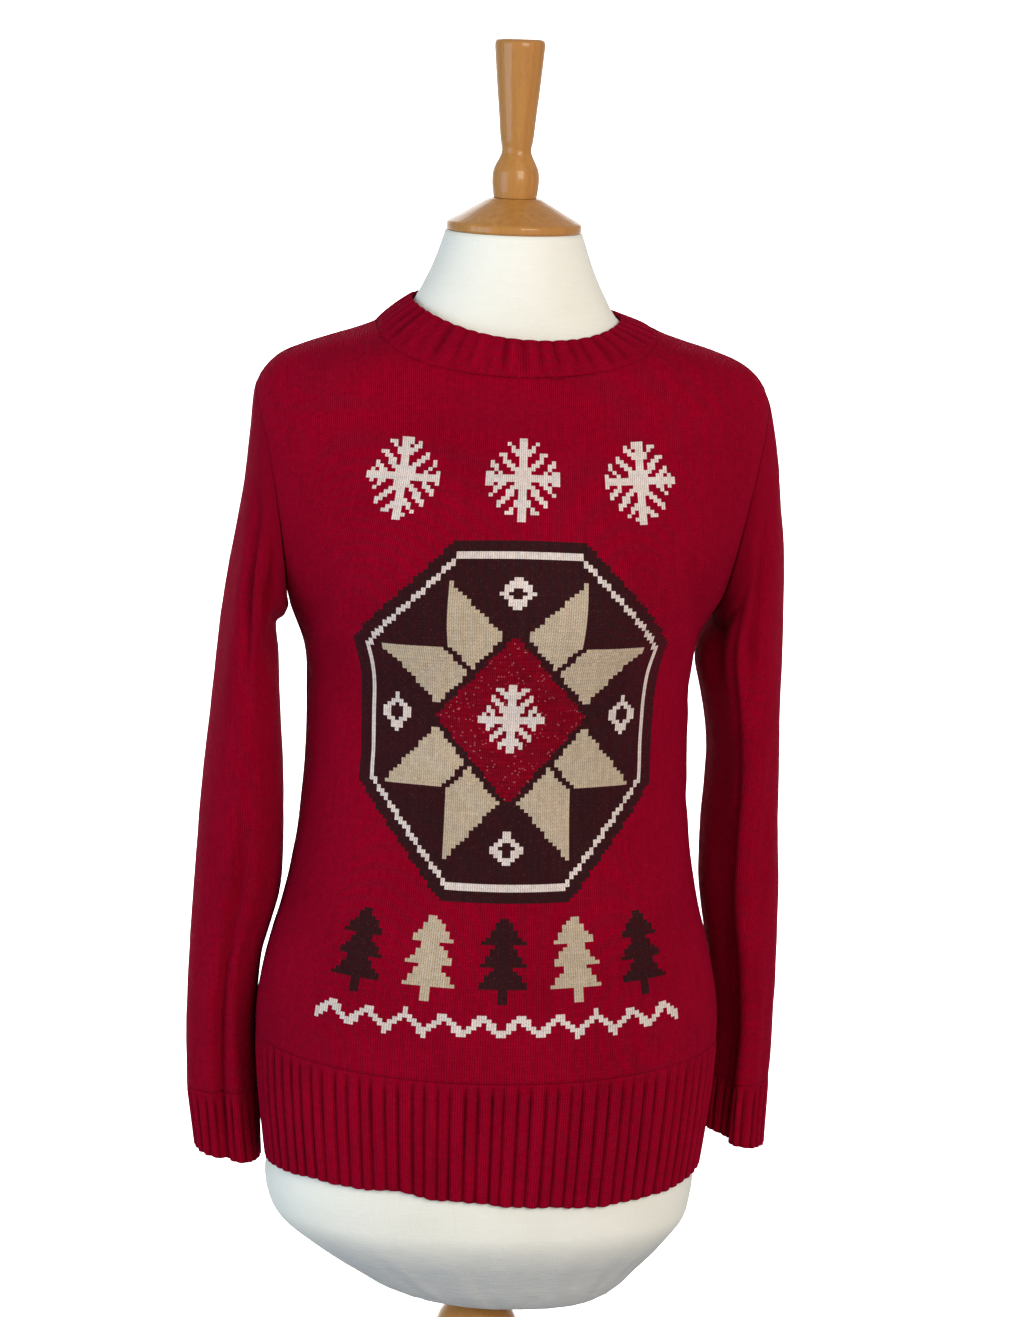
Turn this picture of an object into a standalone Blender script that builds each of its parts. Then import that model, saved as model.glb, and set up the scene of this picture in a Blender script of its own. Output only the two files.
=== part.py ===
"""A crew-neck knitted jumper on a limbless dress form with a turned wooden stand.

Sizes are in millimetres: X runs to the wearer's left, -Y to the front and Z up from the floor.
The jumper's skin is a stack of rounded sections. The panels, welts and neckband are cut from
that skin, and each sleeve is a stack of rings that starts on the armhole.
"""

import bmesh
import bpy
import numpy as np

MM = 0.001

# Cloth
WALL = 2.0
RIB_CREST = 0.5
RIB_GROOVE = -0.9
RIB_BACK = -2.3
RIB_STEPS = (0.0, 0.28, 0.72)
RIB_RISES = (RIB_GROOVE, RIB_CREST, RIB_CREST)
SEAM_GAP = 0.3
NECK_SEAM_GAP = 1.0

# Heights of the jumper's landmarks
HEM = 786
WELT_TOP = 880
UNDERARM = 1190
SHOULDER = 1346
NECK_FRONT = 1361
NECK_POINT = 1390
NECK_BACK = 1387
HEM_DIP = 7
HEM_LEAN = 13
WELT_DIP = 11

# How far the jumper has slipped to the wearer's left at the shoulders
DRIFT = 3

# How the skin bulges
SQUARENESS = 2.3
ARMHOLE_SHARE = 0.52
BUST_SWELL = 0.075
BUST_X, BUST_Z = 72, 1214
BUST_WIDE, BUST_TALL = 44, 46

# height, seam to centre line, front depth, back depth
SKIN_SECTIONS = (
    (770, 156, 100, 117),
    (800, 160, 102, 121),
    (840, 164.5, 104, 125),
    (875, 166.5, 106, 124),
    (905, 166, 107, 120),
    (942, 159, 107, 113),
    (979, 149, 105, 105),
    (1016, 142, 101, 98),
    (1070, 137, 97, 92),
    (1125, 136.5, 101, 90),
    (1160, 139, 108, 92),
    (1190, 150, 114, 95),
    (1225, 156, 116, 98),
    (1261, 162.5, 110, 100),
    (1304, 172, 99, 99),
    (1330, 178, 89, 95),
    (1346, 180, 82, 91),
    (1353, 176.5, 78, 88),
    (1361, 170, 73, 84),
    (1367, 162, 70, 81),
    (1376, 139.5, 65, 77),
    (1382, 120, 62, 75),
    (1388, 103, 59, 72),
    (1394, 92, 56, 69),
    (1400, 84, 54, 65),
    (1415, 75, 51, 59),
)

# Grid of each panel
PANEL_COLUMNS = 24
PANEL_ROWS_BELOW = 8
ARMHOLE_ROWS = 12
NECK_SHARE = 0.56
NECK_HALF = 98
DROP_START = 1110

# Ribs
WELT_RIBS = 47
CUFF_RIBS = 24
NECK_RIBS = 44
FINE = 721
DOWN = np.array((0, 0.5, 1))

# Neckband's top edge
BAND_HALF = 75
BAND_FRONT, BAND_BACK = 64, 62
BAND_FRONT_Z, BAND_SIDE_Z, BAND_BACK_Z = 1385.5, 1403.5, 1409
BAND_LEAN = -5
BAND_SQUARENESS = 2.15
BAND_SWELL = 1.0

# share of the sleeve, outer x, outer z, inner x, inner z, half depth, middle y
RIGHT_SLEEVE = (
    (0.00, 180, 1346, 152, 1190, 58, 0),
    (0.06, 181.5, 1328, 152.8, 1187, 58, 0),
    (0.12, 183, 1305, 153.6, 1184, 59, 1),
    (0.18, 185, 1279, 154.5, 1181, 61, 2),
    (0.24, 188.5, 1250, 158.5, 1177, 63, 4),
    (0.30, 193, 1218, 158.5, 1169, 64, 6),
    (0.36, 197.5, 1182, 157, 1157, 64, 8),
    (0.44, 202, 1136, 155, 1130, 62, 11),
    (0.54, 206.5, 1082, 151.5, 1080, 59, 15),
    (0.64, 211, 1024, 149.5, 1023, 56, 20),
    (0.72, 213, 975, 151, 975, 53, 28),
    (0.80, 215, 928, 162.5, 928, 49, 34),
    (0.88, 216, 884, 164.7, 884, 46, 38),
    (1.00, 215, 829, 162, 829, 41, 38),
)
LEFT_SLEEVE = (
    (0.00, 180, 1346, 152, 1190, 58, 0),
    (0.06, 184.5, 1328, 152.8, 1187, 58, 0),
    (0.12, 189, 1305, 153.4, 1183, 59, 1),
    (0.18, 193.5, 1278, 153.4, 1179, 61, 2),
    (0.24, 198, 1248, 147.5, 1172, 63, 4),
    (0.30, 201, 1217, 144, 1162, 64, 6),
    (0.36, 202.5, 1182, 143.5, 1149, 64, 9),
    (0.44, 203.5, 1136, 148.5, 1127, 62, 12),
    (0.54, 205, 1085, 155, 1084, 59, 15),
    (0.64, 208, 1029, 153.5, 1029, 56, 19),
    (0.72, 211, 982, 154.5, 982, 53, 22),
    (0.80, 212, 936, 162, 936, 49, 24),
    (0.88, 212, 893, 167.5, 893, 46, 24),
    (1.00, 210.5, 843, 167, 843, 41, 23),
)
SLEEVE_RINGS = 19
CUFF_SHARE = 0.12
SLEEVE_BLEND = 0.34
SLEEVE_SQUARENESS = 2.15

# Cuff's free edge: outer x, outer z, inner x, inner z, half depth, middle y
RIGHT_CUFF = (208.5, 784, 160, 777, 38, 33)
LEFT_CUFF = (208.5, 794, 165, 803, 38, 18)

# first share, last share, ring angle there, ring angle at the end, half width, depth
# A ring angle of 0 faces out, 90 front, 180 in and 270 back.
RIGHT_CREASES = (
    (0.50, 1.30, 124, 84, 20, 10),
    (0.14, 0.44, 62, 74, 17, 5),
    (0.16, 0.42, 150, 138, 17, 5),
    (0.30, 0.95, 292, 262, 20, 7),
)
LEFT_CREASES = (
    (0.10, 0.62, 158, 98, 18, 9),
    (0.46, 1.30, 104, 100, 18, 11),
    (0.18, 0.52, 52, 92, 18, 8),
    (0.40, 1.20, 248, 272, 20, 7),
)

# x, z of the middle, half length, lean from upright in degrees, half width, depth
FRONT_CREASES = (
    (-138, 1196, 34, 12, 9, 4.5),
    (136, 1192, 40, 18, 9, 5),
    (112, 1246, 52, 38, 15, 2.5),
    (-114, 1240, 44, 34, 15, 2),
)
BACK_CREASES = (
    (-134, 1194, 40, 16, 10, 4.5),
    (134, 1196, 40, 16, 10, 4.5),
    (-52, 1046, 66, 80, 12, 3),
    (44, 1078, 74, 84, 13, 3.5),
    (96, 1240, 60, 26, 15, 2.5),
    (-98, 1246, 60, 26, 15, 2.5),
)

# Dress form: height, half width, front depth, back depth, middle x
FORM_SECTIONS = (
    (679, 46, 34, 38, 30),
    (683, 66, 46, 52, 23),
    (692, 86, 58, 68, 16),
    (708, 108, 71, 85, 9),
    (727, 131, 84, 101, 4),
    (745, 148.5, 93, 110, 0),
    (764, 155, 95.5, 112.5, -2),
    (800, 154, 96, 114, 0),
    (850, 158, 98, 118, 0),
    (905, 158, 100, 112, 0),
    (979, 141, 96, 96, 0),
    (1070, 124, 84, 80, 0),
    (1125, 127, 89, 80, 0),
    (1190, 140, 105, 87, 0),
    (1225, 147, 108, 90, 0),
    (1261, 151, 102, 92, 0),
    (1304, 157, 91, 91, 0),
    (1332, 160, 80, 86, 0),
    (1350, 158, 72, 80, 0),
    (1362, 150, 66, 74, 0),
    (1370, 134, 62, 71, 0),
    (1376, 114, 59, 68, 0),
    (1384, 92, 55, 64, 0),
    (1395, 76, 51.5, 58, 0),
    (1411, 66, 50, 54, 0),
    (1432, 56, 48.5, 50, 0),
    (1455.2, 48, 47, 47, 0),
)
FORM_COLUMNS = 32
FORM_NECK = 1411
FORM_CHEST = 1370

# Turned wood: radius and height up each outline
CAP_OUTLINE = (
    (46, 1455.5), (47.3, 1456.5), (47.3, 1460.5), (46.3, 1462), (18.5, 1478), (17.5, 1478.5),
)
FINIAL_OUTLINE = (
    (15.1, 1478.8), (16, 1484.4), (16.5, 1490.4), (16.1, 1496.5), (14.6, 1501),
    (12.3, 1505.6), (10.8, 1509), (10.4, 1512.5), (11.7, 1520), (13.1, 1535), (15.4, 1558),
    (17, 1576), (17.6, 1583.5), (17, 1586.6), (15, 1588),
)
KNOB_OUTLINE = (
    (14, 616), (22, 619), (28, 627), (31, 638), (31, 651), (28, 663), (22, 672), (15, 678.6),
)
POLE_RADIUS, POLE_BOTTOM, POLE_TOP = 14, 48.3, 615.7
SOCKET_OUTLINE = (
    (44, 26.3), (44, 30), (34, 37), (24, 44), (21, 48),
)
FOOT_OUTLINE = (
    (172, 0), (176, 4), (176, 17), (171, 23), (160, 26), (60, 26),
)
TURNED_SEGMENTS = 32
FOOT_SEGMENTS = 48
MERGE = 0.00001

RED = (0.36, 0.004, 0.022, 1)
LINEN = (0.83, 0.80, 0.71, 1)
BEECH = (0.50, 0.22, 0.06, 1)


def column(table, index):
    """A smooth function of the table's first column, through another of its columns."""
    at = np.array([row[0] for row in table], float)
    value = np.array([row[index] for row in table], float)
    slope = np.gradient(value, at)

    def read(where):
        where = np.clip(where, at[0], at[-1])
        i = np.clip(np.searchsorted(at, where) - 1, 0, len(at) - 2)
        span = at[i + 1] - at[i]
        t = (where - at[i]) / span
        start = (1 + 2 * t) * value[i] + t * span * slope[i]
        end = (3 - 2 * t) * value[i + 1] + (t - 1) * span * slope[i + 1]
        return (1 - t) ** 2 * start + t**2 * end

    return read


seam_x, front_depth, back_depth = (column(SKIN_SECTIONS, index) for index in (1, 2, 3))


def smooth_step(t):
    t = np.clip(t, 0, 1)
    return t * t * (3 - 2 * t)


def rounded(turns, half_width, half_depth, squareness):
    """x and y of a rounded section, from its front round by the wearer's left."""
    sine, cosine = np.sin(turns), np.cos(turns)
    x = half_width * np.sign(sine) * abs(sine) ** (2 / squareness)
    return x, -half_depth * np.sign(cosine) * abs(cosine) ** (2 / squareness)


def full_width(z):
    """Half width of the skin. Between underarm and shoulder it bulges past the armhole."""
    t = np.clip((z - UNDERARM) / (SHOULDER - UNDERARM), 0, 1)
    share = ARMHOLE_SHARE * 2 * np.sqrt(t * (1 - t))
    return seam_x(z) / (1 - share**SQUARENESS) ** (1 / SQUARENESS)


def depth(x, z, side):
    """Depth of the skin's section at x: side is -1 for the front and 1 for the back."""
    swell = np.exp(-(((abs(x) - BUST_X) / BUST_WIDE) ** 2) - ((z - BUST_Z) / BUST_TALL) ** 2)
    front = front_depth(z) * (1 + BUST_SWELL * swell)
    return np.where(side < 0, front, back_depth(z))


def skin(x, z, side):
    """Points of the skin, seen from the front or back at x and z."""
    share = np.clip(1 - abs(x / full_width(z)) ** SQUARENESS, 0, 1) ** (1 / SQUARENESS)
    return np.stack([x, side * depth(x, z, side) * share, z], axis=-1)


def girth(points, side):
    """1 on the skin, and more outside it."""
    x, y, z = np.moveaxis(points, -1, 0)
    wide = abs(x / full_width(z)) ** SQUARENESS
    return wide + abs(y / depth(x, z, side)) ** SQUARENESS


def skin_normals(points, side):
    """Outward normals of the skin, from how fast the girth grows."""
    step = 0.2
    grown = [
        girth(points + step * axis, side) - girth(points - step * axis, side)
        for axis in np.eye(3)
    ]
    return unit(np.stack(grown, axis=-1))


def unit(vectors):
    return vectors / np.maximum(np.linalg.norm(vectors, axis=-1, keepdims=True), 1e-9)


def grid_normals(points, closed):
    """Normals of a grid of rows by columns. A closed grid's columns run round a ring."""
    if closed:
        across = np.roll(points, -1, axis=1) - np.roll(points, 1, axis=1)
    else:
        across = np.gradient(points, axis=1)
    return unit(np.cross(across, np.gradient(points, axis=0)))


def shoulder_ridge(x):
    """Height of the shoulder's ridge at a distance from the centre line."""
    heights = np.linspace(SHOULDER, SKIN_SECTIONS[-1][0], FINE)
    widths = np.minimum.accumulate(full_width(heights))
    return np.interp(-abs(x), -widths, heights)


def neckline(turn, side, inset=0.0):
    """x and z of the neck seam. turn goes from -90 degrees at one neck point to 90.

    It dips in a scoop at the front, and rises a little towards the middle of the back.
    """
    away = 1 - np.cos(turn) if side < 0 else np.sin(turn) ** 2
    middle = NECK_FRONT if side < 0 else NECK_BACK
    x = (NECK_HALF - inset) * np.sin(turn)
    return x, middle + (NECK_POINT - middle) * away + inset


def armhole_turns(count):
    """Even steps round half an armhole, from the underarm up to the shoulder."""
    return np.linspace(np.pi, 0, count + 1)


def armhole_height(turn):
    return UNDERARM + (SHOULDER - UNDERARM) * (1 + np.cos(turn)) / 2


def panel_points(side):
    """The skin of the front or back panel, in rows from the welt up to shoulder and neck."""
    u = np.linspace(-1, 1, PANEL_COLUMNS + 1)
    below = np.linspace(WELT_TOP, UNDERARM, PANEL_ROWS_BELOW + 1)[:-1]
    rows = np.concatenate([below, armhole_height(armhole_turns(ARMHOLE_ROWS))])

    low_share = np.sign(u) * np.sin(abs(u) * np.pi / 2) ** (2 / SQUARENESS)
    neck = abs(u) <= NECK_SHARE
    turn = np.clip(u / NECK_SHARE, -1, 1) * np.pi / 2
    neck_x, neck_z = neckline(turn, side)
    past = (abs(u) - NECK_SHARE) / (1 - NECK_SHARE)
    seam = np.sign(u) * (NECK_HALF + (seam_x(SHOULDER) - NECK_HALF) * past)
    top_x = np.where(neck, neck_x, seam)
    top_z = np.where(neck, neck_z, shoulder_ridge(seam))

    rise = smooth_step((rows - UNDERARM) / (SHOULDER - UNDERARM))[:, None]
    x = seam_x(rows)[:, None] * ((1 - rise) * low_share + rise * top_x / seam_x(SHOULDER))
    lift = np.clip((rows - DROP_START) / (SHOULDER - DROP_START), 0, 1)[:, None] ** 2
    z = rows[:, None] + lift * (top_z - SHOULDER)
    z = z - welt_dip(low_share, side) * np.clip((UNDERARM - rows[:, None]) / (UNDERARM - WELT_TOP), 0, 1)
    z[0] += SEAM_GAP / 2
    points = skin(x, z, side)
    points[:, [0, -1], 1] += side * SEAM_GAP / 2
    points[-1, :, 1] = np.where(neck, points[-1, :, 1], side * SEAM_GAP / 2)
    return points


def welt_dip(share, side):
    """How far the welt's seam sags below its height at the side seams."""
    return (WELT_DIP if side < 0 else 0) * (1 - share**2)


def hem_dip(share, side):
    """How far the hem sags below its height at the side seams. It leans at the front."""
    return (HEM_DIP + HEM_LEAN * share if side < 0 else 0) * (1 - share**2)


def creased(points, normals, creases):
    """The points of a panel, pressed in along soft straight creases."""
    x, z = points[..., 0], points[..., 2]
    pressed = np.zeros_like(x)
    for mid_x, mid_z, half_length, lean, half_width, deep in creases:
        lean = np.radians(lean) * (1 if mid_x < 0 else -1)
        along = (z - mid_z) * np.cos(lean) + (x - mid_x) * np.sin(lean)
        across = (x - mid_x) * np.cos(lean) - (z - mid_z) * np.sin(lean)
        pressed += deep * np.exp(-((along / half_length) ** 2) - (across / half_width) ** 2)
    return points - normals * pressed[..., None]


def square_to(normals, axis):
    """Normals with no part along an axis, so that a rim lies in its seam's plane."""
    flat = normals.copy()
    flat[..., axis] = 0
    return unit(flat)


def build_panel(name, side, creases):
    points = panel_points(side)
    normals = skin_normals(points, side)
    normals[0] = square_to(normals[0], 2)
    armhole = slice(PANEL_ROWS_BELOW + 1, -1)
    for edge in (0, -1):
        normals[: PANEL_ROWS_BELOW + 1, edge] = square_to(normals[: PANEL_ROWS_BELOW + 1, edge], 1)
        normals[armhole, edge] = square_to(normals[armhole, edge], 0)
    seam = abs(np.linspace(-1, 1, PANEL_COLUMNS + 1)) > NECK_SHARE - 1e-6
    normals[-1, seam] = square_to(normals[-1, seam], 1)
    inside = creased(points[1:-1, 1:-1], normals[1:-1, 1:-1], creases)
    points[1:-1, 1:-1] = inside
    build_wall(name, points, points - WALL * normals)


def evenly(points, shares):
    """Points at even shares of a line's length."""
    steps = np.linalg.norm(np.diff(points, axis=0), axis=1)
    along = np.concatenate([[0], np.cumsum(steps)])
    return np.stack([np.interp(shares * along[-1], along, line) for line in points.T], axis=1)


def rib_shares(ribs, closed):
    """Where the ribs' grooves and crests fall along a seam, and how high each one stands."""
    shares = [(rib + step) / ribs for rib in range(ribs) for step in RIB_STEPS]
    rises = list(RIB_RISES) * ribs
    if not closed:
        shares.append(1.0)
        rises.append(RIB_GROOVE)
    return np.array(shares), np.array(rises)


def build_ribbed(name, lines, ribs, normals_at, closed=True, hand=1):
    """A ribbed band: the ribs stand on its outer points, and its inside is plain."""
    shares, rises = rib_shares(ribs, closed)
    outer = np.stack([evenly(line, shares) for line in lines])
    outer = outer + rises[None, :, None] * normals_at(outer)
    inner = np.stack([evenly(line, shares[:: len(RIB_STEPS)]) for line in lines])
    inner = inner + RIB_BACK * normals_at(inner)
    build_wall(name, mirrored(outer, hand), mirrored(inner, hand), closed)


def build_welt(name, side):
    """The ribbed hem of one panel."""
    share = np.sin(np.linspace(-1, 1, FINE) * np.pi / 2)
    share = np.sign(share) * abs(share) ** (2 / SQUARENESS)
    top = WELT_TOP - SEAM_GAP / 2 - welt_dip(share, side)
    bottom = HEM - hem_dip(share, side)
    lines = []
    for down in DOWN:
        z = top + down * (bottom - top)
        line = skin(share * full_width(z), z, side)
        line[[0, -1], 1] = side * SEAM_GAP / 2
        lines.append(line)

    def normals_at(points):
        normals = skin_normals(points, side)
        normals[[0, -1]] = square_to(normals[[0, -1]], 2)
        normals[:, [0, -1]] = square_to(normals[:, [0, -1]], 1)
        return normals

    build_ribbed(name, lines, WELT_RIBS, normals_at, closed=False)


def build_neckband():
    """The ribbed band round the neck, leaning to one side as it sits on the form."""
    turn = np.linspace(0, 2 * np.pi, FINE)
    side = np.where(np.cos(turn) >= 0, -1, 1)
    half_turn = np.arcsin(np.clip(np.sin(turn), -1, 1))
    seam_points = skin(*neckline(half_turn, -1, NECK_SEAM_GAP), -1)
    back_points = skin(*neckline(half_turn, 1, NECK_SEAM_GAP), 1)
    seam = np.where(side[:, None] < 0, seam_points, back_points)
    reach = np.where(side < 0, BAND_FRONT, BAND_BACK)
    far_z = np.where(side < 0, BAND_FRONT_Z, BAND_BACK_Z)
    x, y = rounded(turn, BAND_HALF, reach, BAND_SQUARENESS)
    z = BAND_SIDE_Z + (far_z - BAND_SIDE_Z) * abs(np.cos(turn)) ** 1.5 + BAND_LEAN * np.sin(turn)
    edge = np.stack([x, y, z], axis=1)
    out = unit(np.stack([np.sin(turn), -np.cos(turn), np.full(FINE, 0.9)], axis=1))
    lines = [
        seam + s * (edge - seam) + BAND_SWELL * 4 * s * (1 - s) * out for s in DOWN
    ]

    def normals_at(points):
        normals = grid_normals(points, True)
        seam_side = np.where(points[0, :, 1] < 0, -1, 1)
        normals[0] = skin_normals(points[0], seam_side)
        return normals

    build_ribbed("neckband", lines, NECK_RIBS, normals_at)


def armhole_ring():
    """The armhole on the wearer's left, from the shoulder point round by the front."""
    turns = np.linspace(0, 2 * np.pi, 2 * ARMHOLE_ROWS + 1)[:-1]
    z = armhole_height(turns)
    front = turns <= np.pi
    side = np.where(front, -1, 1)
    ring = skin(seam_x(z), z, side)
    ring[[0, ARMHOLE_ROWS], 1] = 0
    return turns, ring


def sleeve_rings(sizes, turns):
    """Rounded rings, each from its outer point round by the front to its inner point."""
    outer_x, outer_z, inner_x, inner_z, half_depth, middle = np.moveaxis(sizes[..., None], 1, 0)
    across, y = rounded(turns + np.pi / 2, 1, half_depth, SLEEVE_SQUARENESS)
    share = (1 + across) / 2
    x = inner_x + (outer_x - inner_x) * share
    z = inner_z + (outer_z - inner_z) * share
    return np.stack([x + SEAM_GAP, middle - y, z], axis=-1)


def sleeve_points(table, creases, shares):
    """The rings of a sleeve on the wearer's left, from the armhole down."""
    turns, armhole = armhole_ring()
    sizes = np.stack([column(table, i)(shares) for i in range(1, 7)], axis=1)
    own = sleeve_rings(sizes, turns)
    own_share = smooth_step(shares / SLEEVE_BLEND)[:, None, None]
    points = own + (1 - own_share) * (armhole + (SEAM_GAP, 0, 0) - own[0])
    return pressed_rings(points, shares, turns, creases)


def pressed_rings(points, shares, turns, creases):
    """Rings pressed in level along creases that run down them and drift round them."""
    normals = square_to(grid_normals(points, True), 2)
    share = shares[:, None]
    for first, last, start, end, half_width, deep in creases:
        t = np.clip((share - first) / (last - first), 0, 1)
        middle = start + (end - start) * smooth_step(t)
        off = (np.degrees(turns) - middle + 180) % 360 - 180
        fade = np.sin(np.pi * t) ** 0.7
        points = points - normals * (deep * fade * np.exp(-((off / half_width) ** 2)))[..., None]
    return points


def mirrored(points, hand):
    """Points of the wearer's left as they are, or mirrored to the right."""
    return points * (hand, 1, 1)


def build_sleeve(name, table, creases, hand):
    shares = np.linspace(0, 1, SLEEVE_RINGS)
    points = sleeve_points(table, creases, shares)
    points[-1, :, 2] += SEAM_GAP / 2
    normals = grid_normals(points, True)
    normals[0] = square_to(normals[0], 0)
    normals[-1] = square_to(normals[-1], 2)
    inside = points - WALL * normals
    build_wall(name, mirrored(points, hand), mirrored(inside, hand), closed=True)


def build_cuff(name, table, free_edge, creases, hand):
    """A ribbed cuff, from the end of its sleeve to a narrower free edge."""
    turns = np.linspace(0, 2 * np.pi, FINE)
    sleeve_end = np.array(table[-1][1:])
    sizes = sleeve_end + DOWN[:, None] * (np.array(free_edge) - sleeve_end)
    lines = pressed_rings(sleeve_rings(sizes, turns), 1 + CUFF_SHARE * DOWN, turns, creases)
    lines[0, :, 2] -= SEAM_GAP / 2

    def normals_at(points):
        normals = grid_normals(points, True)
        normals[0] = square_to(normals[0], 2)
        return normals

    build_ribbed(name, lines, CUFF_RIBS, normals_at, hand=hand)


def slipped(points):
    """The points, moved sideways as the jumper has slipped on the form's shoulders."""
    share = smooth_step((points[..., 2] - UNDERARM) / (SHOULDER - UNDERARM))
    return points + share[..., None] * (DRIFT, 0, 0)


def build_wall(name, outer, inner, closed=False):
    """A closed sheet between an outer and an inner grid of points.

    Each inner column stands behind a whole number of outer ones.
    """
    mesh = bmesh.new()
    skins = [
        [[mesh.verts.new(point * MM) for point in row] for row in slipped(grid)]
        for grid in (outer, inner)
    ]

    def cells(row):
        return [(i, (i + 1) % len(row)) for i in range(len(row) - (not closed))]

    for rows in skins:
        for low, high in zip(rows, rows[1:]):
            for i, j in cells(low):
                mesh.faces.new((low[i], low[j], high[j], high[i]))
    outside, inside = skins
    ratio = len(cells(outside[0])) // len(cells(inside[0]))
    for edge in (0, -1):
        for i, j in cells(inside[edge]):
            front = [outside[edge][(ratio * i + k) % len(outside[edge])] for k in range(ratio + 1)]
            mesh.faces.new((*front, inside[edge][j], inside[edge][i]))
    if not closed:
        for end in (0, -1):
            for row in range(len(outside) - 1):
                mesh.faces.new(
                    (outside[row][end], outside[row + 1][end], inside[row + 1][end], inside[row][end])
                )
    finish_mesh(name, mesh, RED)


def finish_mesh(name, mesh, colour):
    """Turns a bmesh into a shaded object of the dressed form's collection."""
    bmesh.ops.recalc_face_normals(mesh, faces=mesh.faces)
    data = bpy.data.meshes.new(name)
    mesh.to_mesh(data)
    mesh.free()
    data.shade_smooth()
    data.materials.append(material(name, colour))
    model.objects.link(bpy.data.objects.new(name, data))


def material(name, colour):
    made = bpy.data.materials.new(name)
    made.use_nodes = True
    shader = made.node_tree.nodes["Principled BSDF"]
    shader.inputs["Base Color"].default_value = colour
    shader.inputs["Roughness"].default_value = 0.35 if colour == BEECH else 0.9
    return made


def build_form():
    """The padded body, in rounded rings from its underside up to the top of the neck."""
    turns = np.linspace(0, 2 * np.pi, FORM_COLUMNS, endpoint=False)
    mesh = bmesh.new()
    rings = []
    for z, half_width, front, back, middle in FORM_SECTIONS:
        squareness = 2 + (SQUARENESS - 2) * smooth_step((FORM_NECK - z) / (FORM_NECK - FORM_CHEST))
        reach = np.where(np.cos(turns) > 0, front, back)
        x, y = rounded(turns, half_width, reach, squareness)
        rings.append([mesh.verts.new(((middle + a) * MM, b * MM, z * MM)) for a, b in zip(x, y)])
    for low, high in zip(rings, rings[1:]):
        for i in range(FORM_COLUMNS):
            j = (i + 1) % FORM_COLUMNS
            mesh.faces.new((low[i], low[j], high[j], high[i]))
    mesh.faces.new(rings[0])
    mesh.faces.new(rings[-1])
    finish_mesh("form_body", mesh, LINEN)


def build_turned(name, outline, segments=TURNED_SEGMENTS):
    """A piece turned on the lathe from its outline, closed flat at both ends."""
    bottom, top = outline[0][1], outline[-1][1]
    points = [(0, top), *reversed(outline), (0, bottom)]
    data = bpy.data.meshes.new(name)
    verts = [(radius * MM, 0, z * MM) for radius, z in points]
    data.from_pydata(verts, [(i, i + 1) for i in range(len(verts) - 1)], [])
    data.materials.append(material(name, BEECH))
    turned = bpy.data.objects.new(name, data)
    model.objects.link(turned)
    screw = turned.modifiers.new("turn", "SCREW")
    screw.steps = screw.render_steps = segments
    screw.use_merge_vertices = True
    screw.merge_threshold = MERGE


def build_pole():
    bpy.ops.mesh.primitive_cylinder_add(
        vertices=TURNED_SEGMENTS, radius=POLE_RADIUS * MM, depth=(POLE_TOP - POLE_BOTTOM) * MM,
        location=(0, 0, (POLE_TOP + POLE_BOTTOM) / 2 * MM),
    )
    pole = bpy.context.object
    pole.name = pole.data.name = "stand_pole"
    pole.data.materials.append(material("stand_pole", BEECH))
    for collection in list(pole.users_collection):
        collection.objects.unlink(pole)
    model.objects.link(pole)


for old in list(bpy.data.objects):
    bpy.data.objects.remove(old)
model = bpy.data.collections.new("dressed_form")
bpy.context.scene.collection.children.link(model)

build_panel("front_panel", -1, FRONT_CREASES)
build_panel("back_panel", 1, BACK_CREASES)
build_welt("front_welt", -1)
build_welt("back_welt", 1)
build_neckband()
build_sleeve("sleeve_left", LEFT_SLEEVE, LEFT_CREASES, 1)
build_sleeve("sleeve_right", RIGHT_SLEEVE, RIGHT_CREASES, -1)
build_cuff("cuff_left", LEFT_SLEEVE, LEFT_CUFF, LEFT_CREASES, 1)
build_cuff("cuff_right", RIGHT_SLEEVE, RIGHT_CUFF, RIGHT_CREASES, -1)
build_form()
build_turned("neck_cap", CAP_OUTLINE)
build_turned("finial", FINIAL_OUTLINE)
build_turned("stand_knob", KNOB_OUTLINE)
build_pole()
build_turned("stand_socket", SOCKET_OUTLINE)
build_turned("stand_foot", FOOT_OUTLINE, FOOT_SEGMENTS)
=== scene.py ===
"""The looks of a knitted Christmas jumper on a limbless dress form with a turned beech stand.

Sizes are in millimetres: X runs to the wearer's left, -Y to the front and Z up from the floor.
Every knitted piece is a grid of stitches, one column to a wale and one row to a course, laid on
the same rounded sections as the solid that it replaces.
"""

import math

import bpy
import numpy as np
from mathutils import Matrix, Vector, noise


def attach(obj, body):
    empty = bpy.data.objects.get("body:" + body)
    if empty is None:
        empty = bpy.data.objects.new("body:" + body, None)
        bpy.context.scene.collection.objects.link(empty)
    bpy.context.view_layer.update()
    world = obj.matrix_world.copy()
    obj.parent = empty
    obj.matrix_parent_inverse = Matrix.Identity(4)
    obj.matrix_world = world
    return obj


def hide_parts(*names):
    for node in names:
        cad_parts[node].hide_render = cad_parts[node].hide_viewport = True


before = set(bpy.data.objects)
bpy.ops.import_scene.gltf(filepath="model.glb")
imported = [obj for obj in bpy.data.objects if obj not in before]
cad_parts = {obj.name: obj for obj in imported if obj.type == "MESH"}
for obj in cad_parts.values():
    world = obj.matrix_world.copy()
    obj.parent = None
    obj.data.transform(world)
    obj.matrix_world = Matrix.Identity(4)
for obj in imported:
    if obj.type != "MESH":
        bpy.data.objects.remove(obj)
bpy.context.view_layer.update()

MM = 0.001

# ------ sizes of the jumper

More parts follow.
